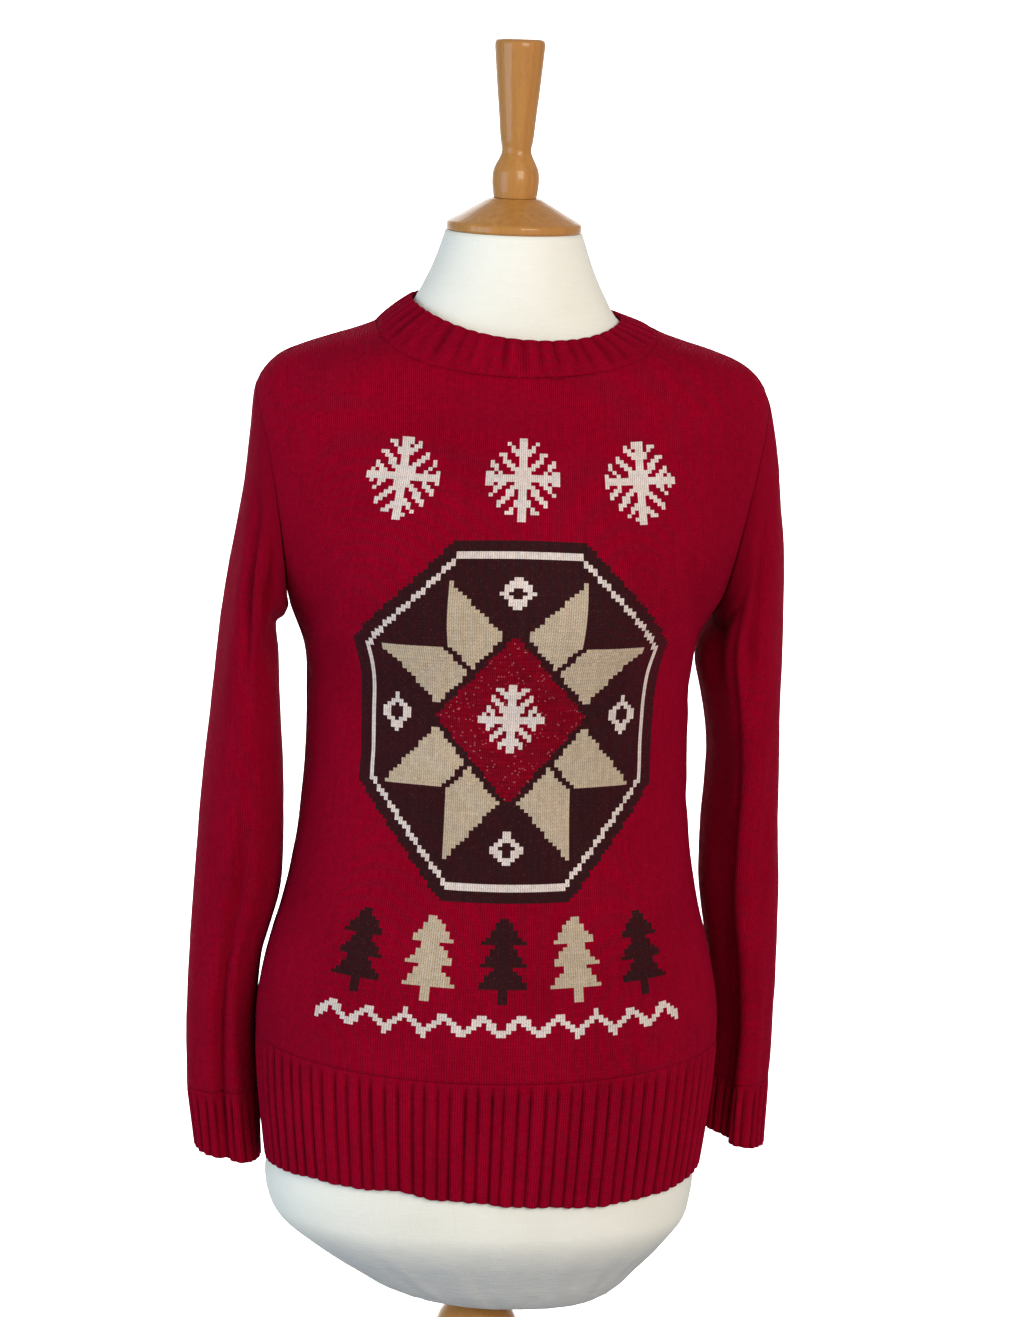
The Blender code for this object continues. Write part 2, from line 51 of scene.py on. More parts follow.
WALE = 3.2
COURSE = 2.5
CLOTH = 1.8
RIB_CLOTH = 1.5
SEAM_GAP = 0.1
NECK_SEAM_GAP = 0.1
TUCK_REACH = 2.2
END_FADE = 12
ARMHOLE_TUCK, SIDE_TUCK, BAND_TUCK = 0.4, 0.5, 0.1

HEM = 786
WELT_TOP = 880
UNDERARM = 1190
SHOULDER = 1346
NECK_FRONT = 1361
NECK_POINT = 1390
NECK_BACK = 1387
NECK_HALF = 98
HEM_DIP = 7
HEM_LEAN = 13
HEM_STEP, HEM_STEP_AT, HEM_STEP_WIDE = 2.2, -0.42, 0.07
WELT_DIP = 11
DRIFT = 3

SQUARENESS, FLATNESS = 2.3, 0.72
ARMHOLE_SHARE = 0.52
BUST_SWELL = 0.075
BUST_X, BUST_Z = 72, 1214
BUST_WIDE, BUST_TALL = 44, 46

# height, seam to centre line, front depth, back depth
SKIN_SECTIONS = (
    (770, 156, 100, 117),
    (800, 160, 102, 121),
    (840, 164.5, 104, 125),
    (875, 166.5, 106, 124),
    (905, 166, 107, 120),
    (942, 159, 107, 113),
    (979, 149, 105, 105),
    (1016, 142, 101, 98),
    (1070, 137, 97, 92),
    (1125, 136.5, 101, 90),
    (1160, 139, 108, 92),
    (1190, 150, 114, 95),
    (1225, 156, 116, 98),
    (1261, 162.5, 110, 100),
    (1304, 172, 99, 99),
    (1330, 178, 89, 95),
    (1346, 180, 82, 91),
    (1353, 176.5, 78, 88),
    (1361, 170, 73, 84),
    (1367, 162, 70, 81),
    (1376, 139.5, 65, 77),
    (1382, 120, 62, 75),
    (1388, 103, 59, 72),
    (1394, 92, 56, 69),
    (1400, 84, 54, 65),
    (1415, 75, 51, 59),
)

PANEL_WALES = 132
COURSES_BELOW, MOST_ABOVE = 122, 120
PATH_STEPS = 900
FINE = 1441

WELT_RIBS, WELT_RIB_WALES = 47, 3
CUFF_RIBS, CUFF_RIB_WALES = 24, 3
NECK_RIBS, NECK_RIB_WALES = 52, 4
RIB_STEPS = 12
RIB_CREST = 0.5
RIB_GROOVE, NECK_GROOVE = -1.7, -0.9
RIB_FLATNESS = 0.42
WELT_ROWS, BAND_ROWS = 38, 15
RIB_START, RIB_REACH = 0.12, 8
LIP, LIP_COURSE = 1.3, 0.6
WELT_TURN_IN, CUFF_TURN_IN, BAND_TURN_IN = (5, 12), (4, 10), (4, 9)

# waves: size, how many in a turn, shift
HEM_WAVES = ((0.5, 17, 0), (0.3, 41, 0))
RIB_DEPTHS = ((0.12, 11, 1), (0.10, 27, 0))
RIB_PLACES = ((0.06, 9, 0), (0.05, 23, 0))
PLEATS = ((0.8, 23, 0.4), (0.5, 37, 1.9), (0.25, 58, 4.1))

BAND_HALF = 75
BAND_FRONT, BAND_BACK = 64, 62
BAND_FRONT_Z, BAND_SIDE_Z, BAND_BACK_Z = 1385.5, 1403.5, 1409
BAND_LEAN, BAND_SCOOP, BAND_TILT = -5, 1.5, 0.9
BAND_SQUARENESS = 2.15
BAND_SWELL = 0.9
COLLAR_TUCK, COLLAR_HALF, COLLAR_FADE, COLLAR_BOTTOM = 0.35, 62, 30, SHOULDER - 20
COLLAR_CROWD = (0.10, 0.12)

# share of the sleeve, outer x, outer z, inner x, inner z, half depth, middle y
RIGHT_SLEEVE = (
    (0.00, 180, 1346, 152, 1190, 58, 0),
    (0.06, 181.5, 1328, 152.8, 1187, 58, 0),
    (0.12, 183, 1305, 153.6, 1184, 59, 1),
    (0.18, 185, 1279, 154.5, 1181, 61, 2),
    (0.24, 188.5, 1250, 158.5, 1177, 63, 4),
    (0.30, 193, 1218, 158.5, 1169, 64, 6),
    (0.36, 197.5, 1182, 157, 1157, 64, 8),
    (0.44, 202, 1136, 155, 1130, 62, 11),
    (0.54, 206.5, 1082, 151.5, 1080, 59, 15),
    (0.64, 211, 1024, 149.5, 1023, 56, 20),
    (0.72, 213, 975, 151, 975, 53, 28),
    (0.80, 215, 928, 162.5, 928, 49, 34),
    (0.88, 216, 884, 164.7, 884, 46, 38),
    (1.00, 215, 829, 162, 829, 41, 38),
)
LEFT_SLEEVE = (
    (0.00, 180, 1346, 152, 1190, 58, 0),
    (0.06, 184.5, 1328, 152.8, 1187, 58, 0),
    (0.12, 189, 1305, 153.4, 1183, 59, 1),
    (0.18, 193.5, 1278, 153.4, 1179, 61, 2),
    (0.24, 198, 1248, 147.5, 1172, 63, 4),
    (0.30, 201, 1217, 144, 1162, 64, 6),
    (0.36, 202.5, 1182, 143.5, 1149, 64, 9),
    (0.44, 203.5, 1136, 148.5, 1127, 62, 12),
    (0.54, 205, 1085, 155, 1084, 59, 15),
    (0.64, 208, 1029, 153.5, 1029, 56, 19),
    (0.72, 211, 982, 154.5, 982, 53, 22),
    (0.80, 212, 936, 162, 936, 49, 24),
    (0.88, 212, 893, 167.5, 893, 46, 24),
    (1.00, 210.5, 843, 167, 843, 41, 23),
)
SLEEVE_COURSES = 204
SLEEVE_WALES = 88
CUFF_SHARE = 0.12
CUFF_COURSES = 22
SLEEVE_BLEND = 0.34
SLEEVE_SQUARENESS = 2.15

# cuff's free edge: outer x, outer z, inner x, inner z, half depth, middle y
RIGHT_CUFF = (208.5, 784, 160, 777, 38, 33)
LEFT_CUFF = (208.5, 794, 165, 803, 38, 18)

# first share, last share, ring angle at the first, ring angle at the last, half width, depth
# A ring angle of 0 faces out, 90 front, 180 in and 270 back.
RIGHT_CREASES = (
    (0.52, 1.34, 90, 84, 19, 7),
    (0.56, 1.34, 91, 82, 8, 6),
    (0.70, 1.10, 122, 134, 13, 4),
    (0.12, 0.46, 58, 82, 10, 7.5),
    (0.12, 0.36, 98, 124, 9, 8),
    (0.14, 0.38, 78, 100, 9, -4),
    (0.16, 0.42, 150, 138, 17, 5),
    (0.30, 0.95, 292, 262, 20, 7),
)
LEFT_CREASES = (
    (0.14, 1.45, 143, 146, 22, 9),
    (0.16, 1.45, 120, 127, 9, 8),
    (0.02, 0.42, 172, 150, 15, 6),
    (0.10, 0.48, 80, 100, 11, 6),
    (0.62, 1.30, 96, 104, 9, -2),
    (0.40, 1.20, 248, 272, 20, 7),
)
# smaller folds, which the cloth adds to the main ones
RIGHT_WRINKLES = (
    (0.55, 0.86, 60, 52, 13, 2.2),
    (0.62, 0.84, 92, 66, 9, 1.8),
    (0.30, 0.50, 100, 118, 12, 2.4),
    (0.72, 1.25, 44, 62, 12, 2.0),
    (0.20, 0.50, 30, 26, 16, 1.6),
    (0.46, 0.80, 230, 214, 14, 2.4),
    (0.62, 1.05, 322, 306, 14, 2.2),
)
LEFT_WRINKLES = (
    (0.20, 0.46, 112, 84, 10, 2.6),
    (0.50, 0.78, 60, 74, 12, 2.2),
    (0.70, 1.22, 58, 50, 12, 2.2),
    (0.58, 0.80, 128, 140, 11, 2.0),
    (0.14, 0.40, 28, 40, 16, 1.6),
    (0.40, 0.76, 214, 232, 14, 2.4),
    (0.60, 1.05, 318, 300, 14, 2.2),
)

# x, z of the middle, half length, lean from upright in degrees, half width, depth
FRONT_CREASES = (
    (-138, 1196, 34, 12, 9, 4.5),
    (136, 1192, 40, 18, 9, 5),
    (112, 1246, 52, 38, 15, 2.5),
    (-114, 1240, 44, 34, 15, 2),
    (-126, 1158, 40, 28, 7, 1.6),
    (124, 1152, 44, 30, 7, 1.8),
    (-118, 1090, 46, 62, 9, 1.1),
    (116, 1066, 46, 66, 9, 1.1),
    (-134, 960, 60, 10, 12, 1.3),
    (132, 968, 60, 8, 12, 1.3),
    (-60, 946, 70, 4, 20, 0.8),
    (48, 952, 76, 3, 20, 0.8),
)
BACK_CREASES = (
    (-134, 1194, 40, 16, 10, 4.5),
    (134, 1196, 40, 16, 10, 4.5),
    (-52, 1046, 66, 80, 12, 3),
    (44, 1078, 74, 84, 13, 3.5),
    (96, 1240, 60, 26, 15, 2.5),
    (-98, 1246, 60, 26, 15, 2.5),
    (-40, 1112, 60, 82, 9, 1.6),
    (60, 1016, 52, 78, 9, 1.4),
    (0, 1180, 70, 0, 22, 1.0),
)
CREASE_FADE = 0.7
RIPPLE, FORM_RIPPLE = 0.55, 0.35
RIPPLE_LENGTH, FINE_RIPPLE = 46, 2.6

# ------ sizes of the form and stand

# height, half width, front depth, back depth, middle x
FORM_SECTIONS = (
    (679, 46, 34, 38, 30),
    (683, 66, 46, 52, 23),
    (692, 86, 58, 68, 16),
    (708, 108, 71, 85, 9),
    (727, 131, 84, 101, 4),
    (745, 148.5, 93, 110, 0),
    (764, 155, 95.5, 112.5, -2),
    (800, 154, 96, 114, 0),
    (850, 158, 98, 118, 0),
    (905, 158, 100, 112, 0),
    (979, 141, 96, 96, 0),
    (1070, 124, 84, 80, 0),
    (1125, 127, 89, 80, 0),
    (1190, 140, 105, 87, 0),
    (1225, 147, 108, 90, 0),
    (1261, 151, 102, 92, 0),
    (1304, 157, 91, 91, 0),
    (1332, 160, 80, 86, 0),
    (1350, 158, 72, 80, 0),
    (1362, 150, 66, 74, 0),
    (1370, 134, 62, 71, 0),
    (1376, 114, 59, 68, 0),
    (1384, 92, 55, 64, 0),
    (1395, 76, 51.5, 58, 0),
    (1411, 66, 50, 54, 0),
    (1432, 56, 48.5, 50, 0),
    (1455.2, 48, 47, 47, 0),
)
FORM_NECK = 1411
FORM_CHEST = 1370
FORM_COLUMNS = 144
FORM_ROWS = 190
FORM_TUCK, FORM_TUCK_BOTTOM, FORM_TUCK_TOP = 1.2, HEM + 14, BAND_FRONT_Z - 25
FORM_SEAMS, FORM_SEAM_WIDE, FORM_SEAM_DEEP = (90, 180, 270), 1.6, 0.5
PLEATS_TOP, PLEATS_BOTTOM = 752, 679

# Turned wood: radius and height up each outline
CAP_OUTLINE = (
    (46, 1455.5), (47.3, 1456.5), (47.3, 1460.5), (46.3, 1462), (18.5, 1478), (17.5, 1478.5),
)
FINIAL_OUTLINE = (
    (15.1, 1478.8), (16, 1484.4), (16.5, 1490.4), (16.1, 1496.5), (14.6, 1501),
    (12.3, 1505.6), (10.8, 1509), (10.4, 1512.5), (11.7, 1520), (13.1, 1535), (15.4, 1558),
    (17, 1576), (17.6, 1583.5), (17, 1586.6), (15, 1588),
)
KNOB_OUTLINE = (
    (14, 616), (22, 619), (28, 627), (31, 638), (31, 651), (28, 663), (22, 672), (15, 678.6),
)
SOCKET_OUTLINE = (
    (44, 26.3), (44, 30), (34, 37), (24, 44), (21, 48),
)
FOOT_OUTLINE = (
    (172, 0), (176, 4), (176, 17), (171, 23), (160, 26), (60, 26),
)
POLE_RADIUS, POLE_BOTTOM, POLE_TOP = 14, 48.3, 615.7
TURNED_STEPS = 96

# ------ the picture on the front

# Yarns: base colour, marled share, metal thread share
RED, WHITE, BROWN, OATMEAL, LUREX = range(5)
YARNS = {
    RED: ((0.245, 0.0009, 0.0130), 0.0, 0.0),
    WHITE: ((0.66, 0.55, 0.50), 0.0, 0.0),
    BROWN: ((0.026, 0.0085, 0.0095), 0.0, 0.06),
    OATMEAL: ((0.50, 0.385, 0.27), 1.0, 0.0),
    LUREX: ((0.20, 0.0022, 0.011), 0.0, 1.0),
}
# Painted shade in the gap between a stitch's legs, over red yarn and over pale yarn.
RED_GAP_SHADE, PALE_GAP_SHADE = (0.055, 0.0005, 0.003, 1), (0.20, 0.145, 0.125, 1)
# SPARK colours the metal-thread flecks: partly real metal, partly a painted glint in a lighter colour.
MARL, DARK_ROW, SPARK = (0.24, 0.17, 0.11, 1), (0.10, 0.001, 0.006, 1), (0.42, 0.12, 0.12, 1)
KNIT_RELIEF = 0.0007
# Painted shade in the grooves of the ribbing: the darkest a groove gets, on welt and cuffs and on the
# neckband.
RIB_SHADOW, COLLAR_SHADOW = 0.48, 0.76
RIB_COURSES = 5.0
CHART_BOTTOM = 20
MEDALLION_Y, MEDALLION_HALF, MEDALLION_TALL, MEDALLION_CORNER = 196, 118, 124, 1.40
ROSE, ROSE_GAP = 99, 3.0
HEART, HEART_EDGE = 58, 7
CRYSTAL, CRYSTAL_AWAY = 13, 88
FLAKE_Y, FLAKE, FLAKE_APART = 362, 29, 92
TREE_Y, TREE_TALL, TREE_APART, TREE_TIER = 6, 56, 50, 16
ZIGZAG_Y, ZIGZAG_TALL, ZIGZAG_LONG = -10, 12, 25


# ------ curves and grids


def column(table, index):
    """A smooth function of the table's first column, through another of its columns."""
    at = np.array([row[0] for row in table], float)
    value = np.array([row[index] for row in table], float)
    slope = np.gradient(value, at)

    def read(where):
        where = np.clip(where, at[0], at[-1])
        i = np.clip(np.searchsorted(at, where) - 1, 0, len(at) - 2)
        span = at[i + 1] - at[i]
        t = (where - at[i]) / span
        start = (1 + 2 * t) * value[i] + t * span * slope[i]
        end = (3 - 2 * t) * value[i + 1] + (t - 1) * span * slope[i + 1]
        return (1 - t) ** 2 * start + t**2 * end

    return read


seam_x, front_depth, back_depth = (column(SKIN_SECTIONS, index) for index in (1, 2, 3))


def smooth_step(t):
    t = np.clip(t, 0, 1)
    return t * t * (3 - 2 * t)


def unit(vectors):
    return vectors / np.maximum(np.linalg.norm(vectors, axis=-1, keepdims=True), 1e-9)


def rounded(turns, half_width, half_depth, squareness):
    """x and y of a rounded section, from its front round by the wearer's left."""
    sine, cosine = np.sin(turns), np.cos(turns)
    x = half_width * np.sign(sine) * abs(sine) ** (2 / squareness)
    return x, -half_depth * np.sign(cosine) * abs(cosine) ** (2 / squareness)


def waves(turn, table):
    """The sum of the table's waves."""
    return sum(size * np.sin(count * turn + shift) for size, count, shift in table)


def degrees_from(turns, middle):
    """How far each turn is from a middle in degrees, the short way round."""
    return (np.degrees(turns) - middle + 180) % 360 - 180


def along(points, axis=0):
    """Distance along each line of a grid of points."""
    steps = np.linalg.norm(np.diff(points, axis=axis), axis=-1)
    start = np.zeros_like(np.take(steps, [0], axis=axis))
    return np.concatenate([start, np.cumsum(steps, axis=axis)], axis=axis)


def at_distances(line, reach):
    """Points of a line at distances along it."""
    distance = along(line)
    return np.stack([np.interp(reach, distance, values) for values in line.T], axis=1)


def evenly(line, shares):
    """Points at the given shares of a line's length."""
    return at_distances(line, shares * along(line)[-1])


def ring_normals(points):
    """Normals of a grid of rings, each of whose last point repeats its first."""
    ring = points[:, :-1]
    across = np.roll(ring, -1, axis=1) - np.roll(ring, 1, axis=1)
    across = np.concatenate([across, across[:, :1]], axis=1)
    return unit(np.cross(across, np.gradient(points, axis=0)))


def square_to(normals, axis):
    """Normals with no part along an axis."""
    flat = normals.copy()
    flat[..., axis] = 0
    return unit(flat)


def full_width(z):
    """Half width of the skin. Between underarm and shoulder it bulges past the armhole."""
    t = np.clip((z - UNDERARM) / (SHOULDER - UNDERARM), 0, 1)
    share = ARMHOLE_SHARE * 2 * np.sqrt(t * (1 - t))
    return seam_x(z) / (1 - share**SQUARENESS) ** (1 / SQUARENESS)


def depth(x, z, side):
    """Depth of the skin's section at x: side is -1 for the front and 1 for the back."""
    swell = np.exp(-(((abs(x) - BUST_X) / BUST_WIDE) ** 2) - ((z - BUST_Z) / BUST_TALL) ** 2)
    front = front_depth(z) * (1 + BUST_SWELL * swell)
    return np.where(side < 0, front, back_depth(z))


def skin(x, z, side):
    """Points of the skin, seen from the front or back at x and z."""
    share = np.clip(1 - abs(x / full_width(z)) ** SQUARENESS, 0, 1) ** (1 / SQUARENESS)
    return np.stack([x, side * depth(x, z, side) * share, z], axis=-1)


def skin_normals(points, side):
    """Outward normals of the skin, from how fast its girth grows."""
    step = 0.2

    def girth(at):
        x, y, z = np.moveaxis(at, -1, 0)
        wide = abs(x / full_width(z)) ** SQUARENESS
        return wide + abs(y / depth(x, z, side)) ** SQUARENESS

    grown = [girth(points + step * axis) - girth(points - step * axis) for axis in np.eye(3)]
    return unit(np.stack(grown, axis=-1))


def shoulder_ridge(x):
    """Height of the shoulder's ridge at a distance from the centre line."""
    heights = np.linspace(SHOULDER, SKIN_SECTIONS[-1][0], FINE)
    widths = np.minimum.accumulate(full_width(heights))
    return np.interp(-abs(x), -widths, heights)


def slipped(points):
    """The points, moved sideways as the jumper has slipped on the form's shoulders."""
    share = smooth_step((points[..., 2] - UNDERARM) / (SHOULDER - UNDERARM))
    return points + share[..., None] * (DRIFT, 0, 0)


def rippled(points, normals, amount=RIPPLE):
    """The points with the slight unevenness of a worn knit."""
    flat = points.reshape(-1, 3)
    fine = RIPPLE_LENGTH / FINE_RIPPLE
    size = np.array([
        noise.noise(Vector(p) / RIPPLE_LENGTH) + 0.5 * noise.noise(Vector(p) / fine) for p in flat
    ])
    return points + normals * (amount * size.reshape(points.shape[:-1]))[..., None]


def eased(points, formed, to_edge):
    """The formed points, but near an edge the points as they were, in line with the next piece."""
    return points + smooth_step(to_edge / END_FADE)[..., None] * (formed - points)


def tucked(points, normals, distance, depth):
    """The points turned in at a seam, by their distance from it."""
    return points - normals * (depth * np.exp(-((distance / TUCK_REACH) ** 2)))[..., None]


def creased(points, normals, creases):
    """The points of a panel, pressed in along soft straight creases."""
    x, z = points[..., 0], points[..., 2]
    pressed = np.zeros_like(x)
    for mid_x, mid_z, half_length, lean, half_width, deep in creases:
        lean = np.radians(lean) * (1 if mid_x < 0 else -1)
        down = (z - mid_z) * np.cos(lean) + (x - mid_x) * np.sin(lean)
        across = (x - mid_x) * np.cos(lean) - (z - mid_z) * np.sin(lean)
        pressed += deep * np.exp(-((down / half_length) ** 2) - (across / half_width) ** 2)
    return points - normals * pressed[..., None]


# ------ knitted pieces


def new_piece(name, corners, edges, faces):
    """A piece from its corners in metres, and the edges or faces between them."""
    mesh = bpy.data.meshes.new(name)
    mesh.from_pydata(corners, edges, faces)
    mesh.shade_smooth()
    piece = bpy.data.objects.new(name, mesh)
    bpy.context.scene.collection.objects.link(piece)
    return piece


def pick(piece):
    """Selects the piece alone and makes it active."""
    bpy.ops.object.select_all(action="DESELECT")
    bpy.context.view_layer.objects.active = piece
    piece.select_set(True)


def modified(piece, kind, **settings):
    """Adds a modifier to the piece and applies it."""
    pick(piece)
    modifier = piece.modifiers.new(kind.lower(), kind)
    for setting, value in settings.items():
        setattr(modifier, setting, value)
    bpy.ops.object.modifier_apply(modifier=modifier.name)
    piece.select_set(False)


def knit(name, points, stitches, flip=False, closed=False, ends=None, cloth=CLOTH, yarns=None):
    """A sheet of stitches: a grid of points in millimetres, with wale and course as its UV map.

    A closed grid's last column repeats its first. ends gives the last row of each column,
    where a column stops short at an edge, and yarns the yarn of each stitch.
    """
    rows, columns = points.shape[:2]
    ends = np.full(columns, rows - 1) if ends is None else ends
    ring = columns - 1 if closed else columns
    corners, faces, cells = [], [], []
    number = {}

    def vertex(row, place):
        key = (min(row, ends[place]), place % ring)
        if key not in number:
            number[key] = len(corners)
            corners.append(points[key[0], place] * MM)
        return number[key]

    for row in range(rows - 1):
        for place in range(columns - 1):
            if row >= max(ends[place], ends[place + 1]):
                continue
            around = ((row, place), (row, place + 1), (row + 1, place + 1), (row + 1, place))
            kept = []
            for r, c in around:
                found = vertex(r, c)
                if not kept or found != kept[-1][0] and found != kept[0][0]:
                    kept.append((found, min(r, ends[c]), c))
            if len(kept) > 2:
                faces.append(kept[::-1] if flip else kept)
                cells.append((row, place))
    piece = new_piece(name, corners, [], [[v for v, _, _ in face] for face in faces])
    mesh = piece.data
    loops = np.array([(r, c) for face in faces for _, r, c in face])
    mesh.uv_layers.new(name="stitch").data.foreach_set(
        "uv", stitches[loops[:, 0], loops[:, 1]].astype(np.float32).ravel()
    )
    if yarns is not None:
        kinds = np.repeat(yarns[tuple(np.array(cells).T)], [len(face) for face in faces])
        tints = np.array([YARNS[kind][0] + (1,) for kind in sorted(YARNS)], np.float32)
        traits = np.array([(*YARNS[kind][1:], kind in (WHITE, OATMEAL), 1) for kind in sorted(YARNS)])
        for label, table in (("yarn", tints), ("trait", traits.astype(np.float32))):
            layer = mesh.color_attributes.new(label, "FLOAT_COLOR", "CORNER")
            layer.data.foreach_set("color", table[kinds].ravel())
    modified(piece, "SOLIDIFY", thickness=cloth * MM, offset=-1, use_even_offset=False)
    return piece


def even_shares(count):
    """Shares of a section's half width, from -1 to 1, at even steps round its front."""
    x, y = rounded(np.linspace(-np.pi / 2, np.pi / 2, FINE), 1, FLATNESS, SQUARENESS)
    return evenly(np.stack([x, y], axis=1), np.linspace(0, 1, count + 1))[:, 0]


def welt_dip(share, side):
    """How far the welt's seam sags below its height at the side seams."""
    return (WELT_DIP if side < 0 else 0) * (1 - share**2)


def hem_dip(share, side):
    """How far the hem sags below its height at the side seams. It leans and steps at the front."""
    uneven = waves(share, HEM_WAVES)
    if side > 0:
        return uneven
    dip = (HEM_DIP + HEM_LEAN * share) * (1 - share**2)
    return dip - HEM_STEP * np.exp(-(((share - HEM_STEP_AT) / HEM_STEP_WIDE) ** 2)) + uneven


def neck_height(x, side):
    """Height of the neck seam: a scoop at the front, and nearly level at the back."""
    share = np.clip(abs(x) / NECK_HALF, 0, 1)
    away = 1 - np.sqrt(1 - share**2) if side < 0 else share**2
    middle = NECK_FRONT if side < 0 else NECK_BACK
    return middle + (NECK_POINT - middle) * away


def panel_grid(side):
    """A panel's stitches and the last course of each wale.

    Each wale runs up the skin to the neck or shoulder. The courses are level at the underarm.
    """
    u = np.linspace(-1, 1, PANEL_WALES + 1)
    low = even_shares(PANEL_WALES)
    top_x = seam_x(SHOULDER) * u
    top_z = np.where(abs(top_x) < NECK_HALF, neck_height(top_x, side), shoulder_ridge(top_x))
    bottom = WELT_TOP + SEAM_GAP / 2 - welt_dip(low, side)
    climb = np.linspace(0, 1, PATH_STEPS)[:, None]
    z = top_z - (top_z - bottom) * (1 - climb) ** SQUARENESS
    rise = smooth_step((z - UNDERARM) / (SHOULDER - UNDERARM))
    x = seam_x(np.minimum(z, SHOULDER)) * ((1 - rise) * low + rise * u)
    paths = skin(x, z, side)
    paths[:, [0, -1], 1] += side * SEAM_GAP / 2
    paths[-1, abs(top_x) >= NECK_HALF, 1] = side * SEAM_GAP / 2
    distance = along(paths)
    below = np.array([np.interp(UNDERARM, z[:, j], distance[:, j]) for j in range(len(u))])
    ends = COURSES_BELOW + np.round((distance[-1] - below) / COURSE).astype(int)
    rows = np.arange(ends.max() + 1)[:, None]
    reach = np.where(
        rows <= COURSES_BELOW, below * rows / COURSES_BELOW, below + COURSE * (rows - COURSES_BELOW)
    )
    reach = np.where(rows >= ends, distance[-1], reach)
    grid = np.stack([at_distances(paths[:, j], reach[:, j]) for j in range(len(u))], axis=1)
    return grid, ends, np.minimum(reach, distance[-1] - reach)


def build_panel(name, side, creases, yarns=None):
    grid, ends, to_ends = panel_grid(side)
    normals = skin_normals(grid, side)
    across = along(grid, axis=1)
    to_sides = np.minimum(across, across[:, -1:] - across)
    formed = rippled(creased(grid, normals, creases), normals)
    grid = eased(grid, formed, np.minimum(to_ends, to_sides))
    grid = tucked(grid, normals, to_sides, ARMHOLE_TUCK)
    if side < 0:
        collar = COLLAR_TUCK * smooth_step((COLLAR_HALF - abs(grid[..., 0])) / COLLAR_FADE)
        grid = tucked(grid, normals, np.where(grid[..., 2] > COLLAR_BOTTOM, to_ends, np.inf), collar)
    rows, columns = grid.shape[:2]
    stitches = np.stack(np.meshgrid(np.arange(columns), np.arange(rows)), axis=-1)
    return knit(name, slipped(grid), stitches, flip=side > 0, ends=ends, yarns=yarns)


def ribbed(ribs, rib_wales, groove):
    """Where the points of a ribbed band fall along it, how high each stands, and its wale.

    No two ribs are quite as wide or as deep, and the band closes on itself.
    """
    phase = np.arange(ribs * RIB_STEPS + 1) / RIB_STEPS
    round_it = 2 * np.pi * phase / ribs
    swell = (0.5 - 0.5 * np.cos(2 * np.pi * phase)) ** RIB_FLATNESS
    deep = (RIB_CREST - groove) * (1 + waves(round_it, RIB_DEPTHS))
    place = (phase + waves(round_it, RIB_PLACES)) / ribs
    return place, RIB_CREST - deep * (1 - swell), phase * rib_wales


def crowded(shares):
    """Shares round the neckband, whose ribs stand closer together at the sides than in front."""
    turn, (once, twice) = 2 * np.pi * shares, COLLAR_CROWD
    return shares + (once * np.sin(turn) + twice / 2 * np.sin(2 * turn)) / (2 * np.pi)


def build_band(name, lines, ribs, normals_at, lip_at, flip=False, closed=True, hand=1, crowd=None):
    """A ribbed band from its seam to a free edge, where it turns in over a lip.

    ribs holds what ribbed takes, and lip_at how far up the inside the lip's last rows lie.
    """
    shares, rise, wales = ribbed(*ribs)
    shares = crowd(shares) if crowd else shares
    grid = np.stack([evenly(line, shares) for line in lines])
    normals = normals_at(grid)
    distance = along(grid)
    growth = RIB_START + (1 - RIB_START) * smooth_step(distance / RIB_REACH)
    grid = grid + (growth * rise)[..., None] * normals
    grid = tucked(grid, normals, distance, BAND_TUCK)
    grid = rippled(grid, normals, RIPPLE / 2)
    if not closed:
        across = along(grid, axis=1)
        grid = tucked(grid, normals, np.minimum(across, across[:, -1:] - across), SIDE_TUCK)
    courses = distance / COURSE
    out = normals[-1]
    down = unit(grid[-1] - grid[-3])
    lips = [
        grid[-1] + LIP * (np.sin(turn) * down - (1 - np.cos(turn)) * out)
        for turn in np.radians(range(30, 181, 30))
    ]
    back = [lips[-1] - reach * down for reach in lip_at]
    grid = np.concatenate([grid, lips, back])
    extra = np.arange(1, len(lips) + len(back) + 1)[:, None] * LIP_COURSE
    courses = np.concatenate([courses, courses[-1] + extra])
    stitches = np.stack(np.broadcast_arrays(wales[None, :], courses), axis=-1)
    grid = slipped(grid * (hand, 1, 1))
    return knit(name, grid, stitches, flip=flip, closed=closed, cloth=RIB_CLOTH)


def build_welt(name, side):
    """The ribbed hem of one panel."""
    share = even_shares(FINE - 1)
    top = WELT_TOP - SEAM_GAP / 2 - welt_dip(share, side)
    bottom = HEM - hem_dip(share, side) + LIP
    lines = []
    for down in np.linspace(0, 1, WELT_ROWS):
        z = top + down * (bottom - top)
        line = skin(share * full_width(z), z, side)
        line[[0, -1], 1] = side * SEAM_GAP / 2
        lines.append(line)

    def normals_at(grid):
        normals = skin_normals(grid, side)
        normals[:, [0, -1]] = square_to(normals[:, [0, -1]], 1)
        return normals

    ribs = WELT_RIBS, WELT_RIB_WALES, RIB_GROOVE
    return build_band(name, lines, ribs, normals_at, WELT_TURN_IN, flip=side < 0, closed=False)


